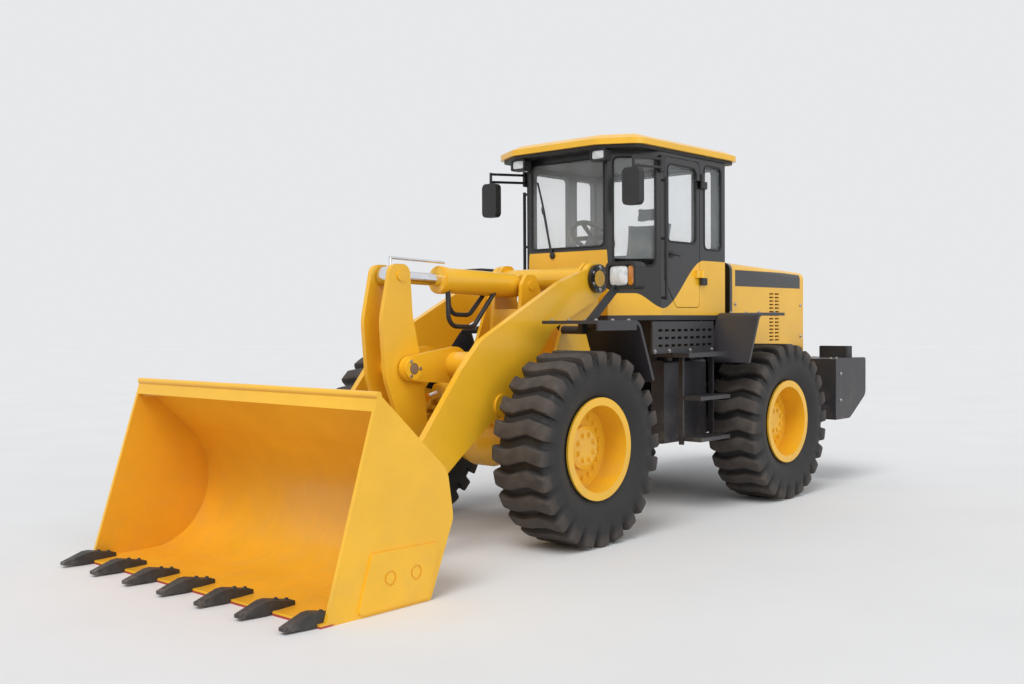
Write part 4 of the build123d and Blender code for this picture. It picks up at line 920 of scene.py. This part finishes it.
# Cab windows from the articulation pin: middle, direction across, half width, half height
CAB_WINDOWS = (
    ((0.390, 0.0, 2.500), (0.0, 1.0), 0.376, 0.350),
    ((0.230, 0.555, 2.420), (-0.7409, 0.6715), 0.170, 0.430),
    ((0.230, -0.555, 2.420), (0.7409, 0.6715), 0.170, 0.430),
    ((-0.704, 0.700, 2.500), (-1.0, 0.0), 0.134, 0.350),
    ((-0.704, -0.700, 2.500), (1.0, 0.0), 0.134, 0.350),
    ((-0.235, -0.700, 2.500), (1.0, 0.0), 0.231, 0.350),
    ((-0.900, 0.0, 2.500), (0.0, -1.0), 0.587, 0.350),
)
DOOR_WINDOW = ((-0.2325, 0.700, 2.500), (-1.0, 0.0), 0.2075, 0.310)
SEALS = (("cab_seals", CAB_WINDOWS, "rear_frame"), ("door_seal", (DOOR_WINDOW,), "door"))
WINDOW_CORNER = 0.045
# Dark sheets behind the hood's louvres, painted shade where only shade shows: middle and half size
LOUVRE_SHADE_PLACE = (-1.952, 0.560, 1.590)
LOUVRE_SHADE_HALF = (0.120, 0.260)


class LOADER_OT_cab_trim(bpy.types.Operator):
    """Adds the cab's window seals, wiper and door handle, and dark sheets behind the hood's louvres as
    painted shade
    """
    bl_idname = "loader.cab_trim"
    bl_label = "Trim the cab"

    def execute(self, context):
        half = context.scene.loader_trim.seal
        for name, windows, body in SEALS:
            seals = bmesh.new()
            for middle, run, wide, high in windows:
                across = Vector((*run, 0.0))
                loop = rounded_loop(at(*middle), across, UP, (wide, high), WINDOW_CORNER)
                sweep(seals, loop, [half] * len(loop), [half * 0.7] * len(loop), across.cross(UP), 8, True)
            fit_piece(name, mesh_of(name, seals), body, "seal_rubber")
        # Painted shade: dark sheets just inside the hood's sides, seen through the louvres
        louvre_shade = bmesh.new()
        x, y, z = LOUVRE_SHADE_PLACE
        for side in SIDES:
            pillow(louvre_shade, at(x, side * y, z), -AHEAD * side, UP, LOUVRE_SHADE_HALF, 0.005, 0.003)
        fit_piece("hood_louvre_shade", mesh_of("hood_louvre_shade", louvre_shade), "rear_frame", "moulding")
        fit_piece("wiper", wiper_mesh(), "rear_frame", "moulding")
        fit_piece("door_handle", handle_mesh(), "door", "moulding")
        return {"FINISHED"}


BLADE_LENGTH = 0.50
# The door lever's line from its plate to its tip
LEVER_PATH = (
    (-0.030, 0.706, 2.090), (-0.032, 0.728, 2.090), (-0.050, 0.738, 2.088), (-0.100, 0.739, 2.084),
    (-0.150, 0.734, 2.080),
)


def wiper_mesh():
    """A wiper over the windscreen: its spindle cap, a tapering arm and a blade on a clip."""
    shape = bmesh.new()
    foot, hand = at(0.404, -0.150, 2.095), at(0.388, -0.255, 2.470)
    pillow(shape, at(0.390, -0.150, 2.095), LEFT, UP, (0.026, 0.026), 0.012, 0.008, 2.0, 24)
    stages = [foot.lerp(hand, step / 6) for step in range(7)]
    sweep(shape, stages, [0.013 - 0.0012 * step for step in range(7)], [0.006] * 7, AHEAD, 8)
    along = (hand - foot).normalized()
    blade = []
    for step in range(13):
        reach = (step / 12 - 0.5) * BLADE_LENGTH
        blade.append(hand + along * reach + AHEAD * (-0.010 + 0.010 * (step / 6 - 1.0) ** 2))
    sweep(shape, blade, [0.007] * 13, [0.010] * 13, AHEAD, 8)
    clip = [hand - along * 0.03, hand, hand + along * 0.03]
    sweep(shape, clip, [0.011, 0.015, 0.011], [0.012] * 3, AHEAD, 8)
    return mesh_of("wiper", shape)


def handle_mesh():
    """A lever handle on a rounded plate near the door's front edge."""
    shape = bmesh.new()
    pillow(shape, at(-0.060, 0.700, 2.090), -AHEAD, UP, (0.046, 0.030), 0.006, 0.003)
    path = [at(*point) for point in LEVER_PATH]
    sweep(shape, path, [0.012, 0.012, 0.012, 0.011, 0.009], [0.009] * 5, UP, 10)
    return mesh_of("door_handle", shape)


# A bolt's form: sides of its head and washer, and its other sizes as shares of the head's radius
HEAD_SIDES = 6
HEAD_TOP = 0.86
HEAD_HEIGHT = 0.95
WASHER_SIDES = 14
WASHER_RADIUS = 1.45
WASHER_HEIGHT = 0.25


def bolt_tree():
    """Geometry nodes that set a washer and a hexagon head on every point, along the point's own facing."""
    tree = bpy.data.node_groups.new("bolt_heads", "GeometryNodeTree")
    sockets = (("Points", "Geometry"), ("Head Radius", "Float"), ("Head Height", "Float"),
               ("Washer Radius", "Float"), ("Washer Height", "Float"), ("Finish", "Material"))
    for label, kind in sockets:
        tree.interface.new_socket(label, in_out="INPUT", socket_type="NodeSocket" + kind)
    tree.interface.new_socket("Bolts", in_out="OUTPUT", socket_type="NodeSocketGeometry")

    def add(kind, settings=None, **links):
        node = tree.nodes.new(kind)
        for key, value in (settings or {}).items():
            setattr(node, key, value)
        for key, value in links.items():
            socket = node.inputs[key.replace("_", " ")]
            if isinstance(value, bpy.types.NodeSocket):
                tree.links.new(value, socket)
            else:
                socket.default_value = value
        return node

    given = add("NodeGroupInput").outputs
    chamfer = add("ShaderNodeMath", {"operation": "MULTIPLY"})
    tree.links.new(given["Head Radius"], chamfer.inputs[0])
    chamfer.inputs[1].default_value = HEAD_TOP
    head = add("GeometryNodeMeshCone", Vertices=HEAD_SIDES, Radius_Bottom=given["Head Radius"],
               Radius_Top=chamfer.outputs[0], Depth=given["Head Height"])
    washer = add("GeometryNodeMeshCone", Vertices=WASHER_SIDES, Radius_Bottom=given["Washer Radius"],
                 Radius_Top=given["Washer Radius"], Depth=given["Washer Height"])
    bolt = add("GeometryNodeJoinGeometry")
    tree.links.new(head.outputs["Mesh"], bolt.inputs[0])
    tree.links.new(washer.outputs["Mesh"], bolt.inputs[0])
    facing = add("GeometryNodeInputNamedAttribute", {"data_type": "FLOAT_VECTOR"}, Name="facing")
    turn = add("FunctionNodeAlignRotationToVector", {"axis": "Z"}, Vector=facing.outputs["Attribute"])
    spread = add("GeometryNodeInstanceOnPoints", Points=given["Points"], Instance=bolt.outputs[0],
                 Rotation=turn.outputs[0])
    whole = add("GeometryNodeRealizeInstances", Geometry=spread.outputs[0])
    coated = add("GeometryNodeSetMaterial", Geometry=whole.outputs[0], Material=given["Finish"])
    result = add("NodeGroupOutput")
    tree.links.new(coated.outputs[0], result.inputs["Bolts"])
    return tree


def ring_of_points(centre, facing, radius, count):
    """Points on a circle round an axis along Y, each with the way its bolt faces."""
    spots = []
    for index in range(count):
        turn = math.tau * (index + 0.5) / count
        spots.append((centre + Vector((math.cos(turn), 0.0, math.sin(turn))) * radius, facing))
    return spots


def bolt_piece(tree, name, spots, radius, body, finish):
    """One body's bolts, grown on their points and kept as a plain mesh."""
    points = bpy.data.meshes.new(name + "_points")
    points.from_pydata([spot for spot, facing in spots], [], [])
    towards = points.attributes.new("facing", "FLOAT_VECTOR", "POINT")
    towards.data.foreach_set("vector", [part for spot, facing in spots for part in facing])
    grower = bpy.data.objects.new(name + "_points", points)
    bpy.context.scene.collection.objects.link(grower)
    maker = grower.modifiers.new("Bolts", "NODES")
    maker.node_group = tree
    sizes = {"Head Radius": radius, "Head Height": radius * HEAD_HEIGHT, "Finish": finish_of(finish),
             "Washer Radius": radius * WASHER_RADIUS, "Washer Height": radius * WASHER_HEIGHT}
    for item in tree.interface.items_tree:
        if item.name in sizes:
            maker[item.identifier] = sizes[item.name]
    mesh = settle(grower)
    bpy.data.objects.remove(grower)
    mesh.name = name
    return fit_piece(name, mesh, body, finish, math.radians(30.0))


# Bolt circles of a wheel, rim then hub, as (how far out, radius, count)
WHEEL_CIRCLES = ((0.0, 0.222, 20), (0.062, 0.092, 8))
# How far out the end caps of the linkage's pins and the boom's pivots lie, and their circles of bolts
CAP_REACH = {"rocker_pin": 0.185, "link_pin": 0.135, "bucket_pins": 0.590}
CAP_CIRCLE = (0.056, 3)
CAP_BOLT_SHARE = 0.8
PIVOT_REACH = 0.531
PIVOT_CIRCLE = (0.085, 6)
# Plate bolts from the articulation pin, as places along, across and up
FRONT_FENDER_BOLTS = ((1.00, 1.19, 1.38), (0.66, 1.05), 1.560)
REAR_FENDER_BOLTS = ((-0.86, -1.12), (0.78, 1.05), 1.620)
COUNTERWEIGHT_TOP_BOLTS = ((-2.40, -2.52), (0.70, 0.95), 1.190)
HOOD_BOLTS = ((-1.24, -2.47), 0.600, (1.10, 1.40, 1.70))
PLATFORM_BOLTS = ((-0.53, -0.20, 0.10, 0.30), 0.794, (1.318,))
COUNTERWEIGHT_SIDE_BOLTS = ((-2.400,), 1.050, (0.80, 1.05))
# The bucket's teeth, and the back slope of a tooth's shank
TOOTH_COUNT = 7
TOOTH_HALF = 0.042
TOOTH_BOLT_X = (3.775, 3.845)
SHANK_X = 3.734
SHANK_Z = 0.046
SHANK_SLOPE = 0.2048
SHANK_FACING = Vector((-0.20, 0.0, 1.0)).normalized()


class LOADER_OT_bolts(bpy.types.Operator):
    """Sets the bolts of the wheels, pins, pivots, teeth, fenders, hood, platforms and counterweight"""
    bl_idname = "loader.bolts"
    bl_label = "Set the bolts"

    def execute(self, context):
        trim = context.scene.loader_trim
        tree = bolt_tree()
        for place in WHEELS:
            bolt_piece(tree, "wheel_bolts_" + place, wheel_spots(place), trim.wheel_bolt, "wheel_" + place,
                       "machine_yellow")
        for node, reach in CAP_REACH.items():
            spots = cap_spots(PINS[node], reach, *CAP_CIRCLE)
            bolt_piece(tree, node + "_bolts", spots, trim.plate_bolt * CAP_BOLT_SHARE, node,
                       "bare_steel")
        plates = (("front_bolts", front_spots(), "front_frame", "pin_steel", "bare_steel"),
                  ("rear_bolts", rear_spots(), "rear_frame", "pin_steel", "bare_steel"),
                  ("tooth_bolts", tooth_spots(), "bucket", "dark_cast", "cast_iron"))
        for name, spots, body, slot, finish in plates:
            bolt_piece(tree, name, spots, trim.plate_bolt, body, finish)
        return {"FINISHED"}


def wheel_spots(place):
    """Places of a wheel's bolts on its outer face."""
    centre = wheel_centre(place)
    out = LEFT if centre.y > 0 else -LEFT
    spots = []
    for stand, radius, count in WHEEL_CIRCLES:
        spots += ring_of_points(centre + out * stand, out, radius, count)
    return spots


def cap_spots(joint, reach, radius, count):
    """A ring of bolts on each end cap of a joint's pin."""
    pin = Vector(JOINTS[joint]["pos_m"])
    spots = []
    for side in SIDES:
        spots += ring_of_points(Vector((pin.x, side * reach, pin.z)), LEFT * side, radius, count)
    return spots


def on_top(side, along, across, z):
    """Bolts that face up on one side of the loader."""
    return [(at(x, side * y, z), UP) for x in along for y in across]


def on_side(side, along, y, heights):
    """Bolts that face outwards on one side of the loader."""
    return [(at(x, side * y, z), LEFT * side) for x in along for z in heights]


def front_spots():
    """Places of the bolts on the boom's pivots and the front fenders."""
    spots = cap_spots("boom_lift", PIVOT_REACH, *PIVOT_CIRCLE)
    for side in SIDES:
        spots += on_top(side, *FRONT_FENDER_BOLTS)
    return spots


def rear_spots():
    """Places of the bolts on the rear fenders, counterweight, hood and platforms."""
    spots = []
    for side in SIDES:
        spots += on_top(side, *REAR_FENDER_BOLTS)
        spots += on_top(side, *COUNTERWEIGHT_TOP_BOLTS)
        spots += on_side(side, *HOOD_BOLTS)
        spots += on_side(side, *PLATFORM_BOLTS)
        spots += on_side(side, *COUNTERWEIGHT_SIDE_BOLTS)
    return spots


def tooth_spots():
    """Two bolts on the back slope of each tooth's shank."""
    low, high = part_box("bucket_teeth")
    pitch = (high.y - low.y - 2 * TOOTH_HALF) / (TOOTH_COUNT - 1)
    spots = []
    for index in range(TOOTH_COUNT):
        y = low.y + TOOTH_HALF + pitch * index
        for x in TOOTH_BOLT_X:
            spots.append((at(x, y, SHANK_Z + (x - SHANK_X) * SHANK_SLOPE), SHANK_FACING))
    return spots


# The stage: the floor's half side and tones, sky, backdrop, and lamps as name, place, spread and strength
FLOOR_HALF = 60.0
FLOOR_TONES = ((0.71, 0.71, 0.71), (0.74, 0.74, 0.74))
SKY_COLOUR = (0.95, 0.97, 1.0, 1.0)
SKY_STRENGTH = 0.58
BACKDROP_COLOUR = (0.80, 0.81, 0.83, 1.0)
LAMPS = (("key", (6.0, 2.0, 9.0), 30.0, 1.7), ("fill", (1.0, 9.0, 5.0), 60.0, 0.8))
LAMP_TARGET = Vector((0.3, 0.0, 1.0))


class LOADER_OT_stage(bpy.types.Operator):
    """Sets the floor, the lights and the camera"""
    bl_idname = "loader.stage"
    bl_label = "Set the stage"

    def execute(self, context):
        set_floor()
        set_lights()
        set_camera(context.scene.loader_stage)
        context.scene.view_settings.view_transform = "Standard"
        return {"FINISHED"}


def set_floor():
    """A pale floor that also closes the view behind the object."""
    mesh = bpy.data.meshes.new("floor")
    corners = [(u * FLOOR_HALF, v * FLOOR_HALF, 0.0) for u, v in ((-1, -1), (1, -1), (1, 1), (-1, 1))]
    mesh.from_pydata(corners, [], [(0, 1, 2, 3)])
    floor = bpy.data.objects.new("floor", mesh)
    bpy.context.scene.collection.objects.link(floor)
    shop = PaintShop("floor_pale")
    tone = shop.ramp(shop.noise(shop.place(), 0.8, 3.0), 0.2, 0.8)
    shop.put(Base_Color=shop.blend(tone, *FLOOR_TONES), Roughness=0.7)
    wear(floor, shop.material)


def set_lights():
    """A soft sky and two broad far lamps, with a pale backdrop for what looks past the object."""
    world = bpy.data.worlds.new("studio")
    bpy.context.scene.world = world
    world.use_nodes = True
    tree = world.node_tree
    sky = tree.nodes["Background"]
    sky.inputs["Color"].default_value = SKY_COLOUR
    sky.inputs["Strength"].default_value = SKY_STRENGTH
    backdrop = tree.nodes.new("ShaderNodeBackground")
    backdrop.inputs["Color"].default_value = BACKDROP_COLOUR
    path = tree.nodes.new("ShaderNodeLightPath")
    seen = path.outputs["Is Camera Ray"]
    for ray in ("Is Glossy Ray", "Is Transmission Ray"):
        either = tree.nodes.new("ShaderNodeMath")
        either.operation = "MAXIMUM"
        tree.links.new(seen, either.inputs[0])
        tree.links.new(path.outputs[ray], either.inputs[1])
        seen = either.outputs[0]
    mix = tree.nodes.new("ShaderNodeMixShader")
    tree.links.new(seen, mix.inputs[0])
    tree.links.new(sky.outputs[0], mix.inputs[1])
    tree.links.new(backdrop.outputs[0], mix.inputs[2])
    tree.links.new(mix.outputs[0], tree.nodes["World Output"].inputs["Surface"])
    for name, place, spread, strength in LAMPS:
        light = bpy.data.lights.new(name, "SUN")
        light.angle = math.radians(spread)
        light.energy = strength
        lamp = bpy.data.objects.new(name, light)
        lamp.location = place
        lamp.rotation_euler = (LAMP_TARGET - Vector(place)).to_track_quat("-Z", "Y").to_euler()
        bpy.context.scene.collection.objects.link(lamp)


def set_camera(stage):
    """The photograph's camera."""
    pitch, yaw, roll = stage.camera_pitch, stage.camera_yaw, stage.camera_roll
    ahead = Vector((math.cos(pitch) * math.cos(yaw), math.cos(pitch) * math.sin(yaw), math.sin(pitch)))
    right = ahead.cross(UP).normalized()
    up = right.cross(ahead)
    turned_right = math.cos(roll) * right + math.sin(roll) * up
    turned_up = math.cos(roll) * up - math.sin(roll) * right
    turn = Matrix((turned_right, turned_up, -ahead)).transposed()
    lens = bpy.data.cameras.new("camera")
    lens.sensor_width = SENSOR
    lens.lens = stage.lens
    lens.clip_end = 300.0
    camera = bpy.data.objects.new("camera", lens)
    camera.matrix_world = Matrix.Translation(stage.camera_place) @ turn.to_4x4()
    bpy.context.scene.collection.objects.link(camera)
    bpy.context.scene.camera = camera


class LOADER_PT_panel(bpy.types.Panel):
    """Lists the loader's steps"""
    bl_label = "Wheel Loader"
    bl_idname = "LOADER_PT_panel"
    bl_space_type = "VIEW_3D"
    bl_region_type = "UI"
    bl_category = "Loader"

    def draw(self, context):
        for step in STEPS:
            self.layout.operator(step.bl_idname)


STEPS = (LOADER_OT_paint, LOADER_OT_tyres, LOADER_OT_seat, LOADER_OT_lamps, LOADER_OT_cab_trim,
         LOADER_OT_bolts, LOADER_OT_stage)
GROUPS = {"loader_finish": LoaderFinish, "loader_tyre": LoaderTyre, "loader_trim": LoaderTrim,
          "loader_stage": LoaderStage}
CLASSES = (*GROUPS.values(), *STEPS, LOADER_PT_panel)


def register():
    for kind in CLASSES:
        bpy.utils.register_class(kind)
    for name, kind in GROUPS.items():
        setattr(bpy.types.Scene, name, bpy.props.PointerProperty(type=kind))


def unregister():
    for name in GROUPS:
        delattr(bpy.types.Scene, name)
    for kind in reversed(CLASSES):
        bpy.utils.unregister_class(kind)


def main():
    register()
    for step in STEPS:
        area, name = step.bl_idname.split(".")
        getattr(getattr(bpy.ops, area), name)()


if __name__ == "__main__":
    main()
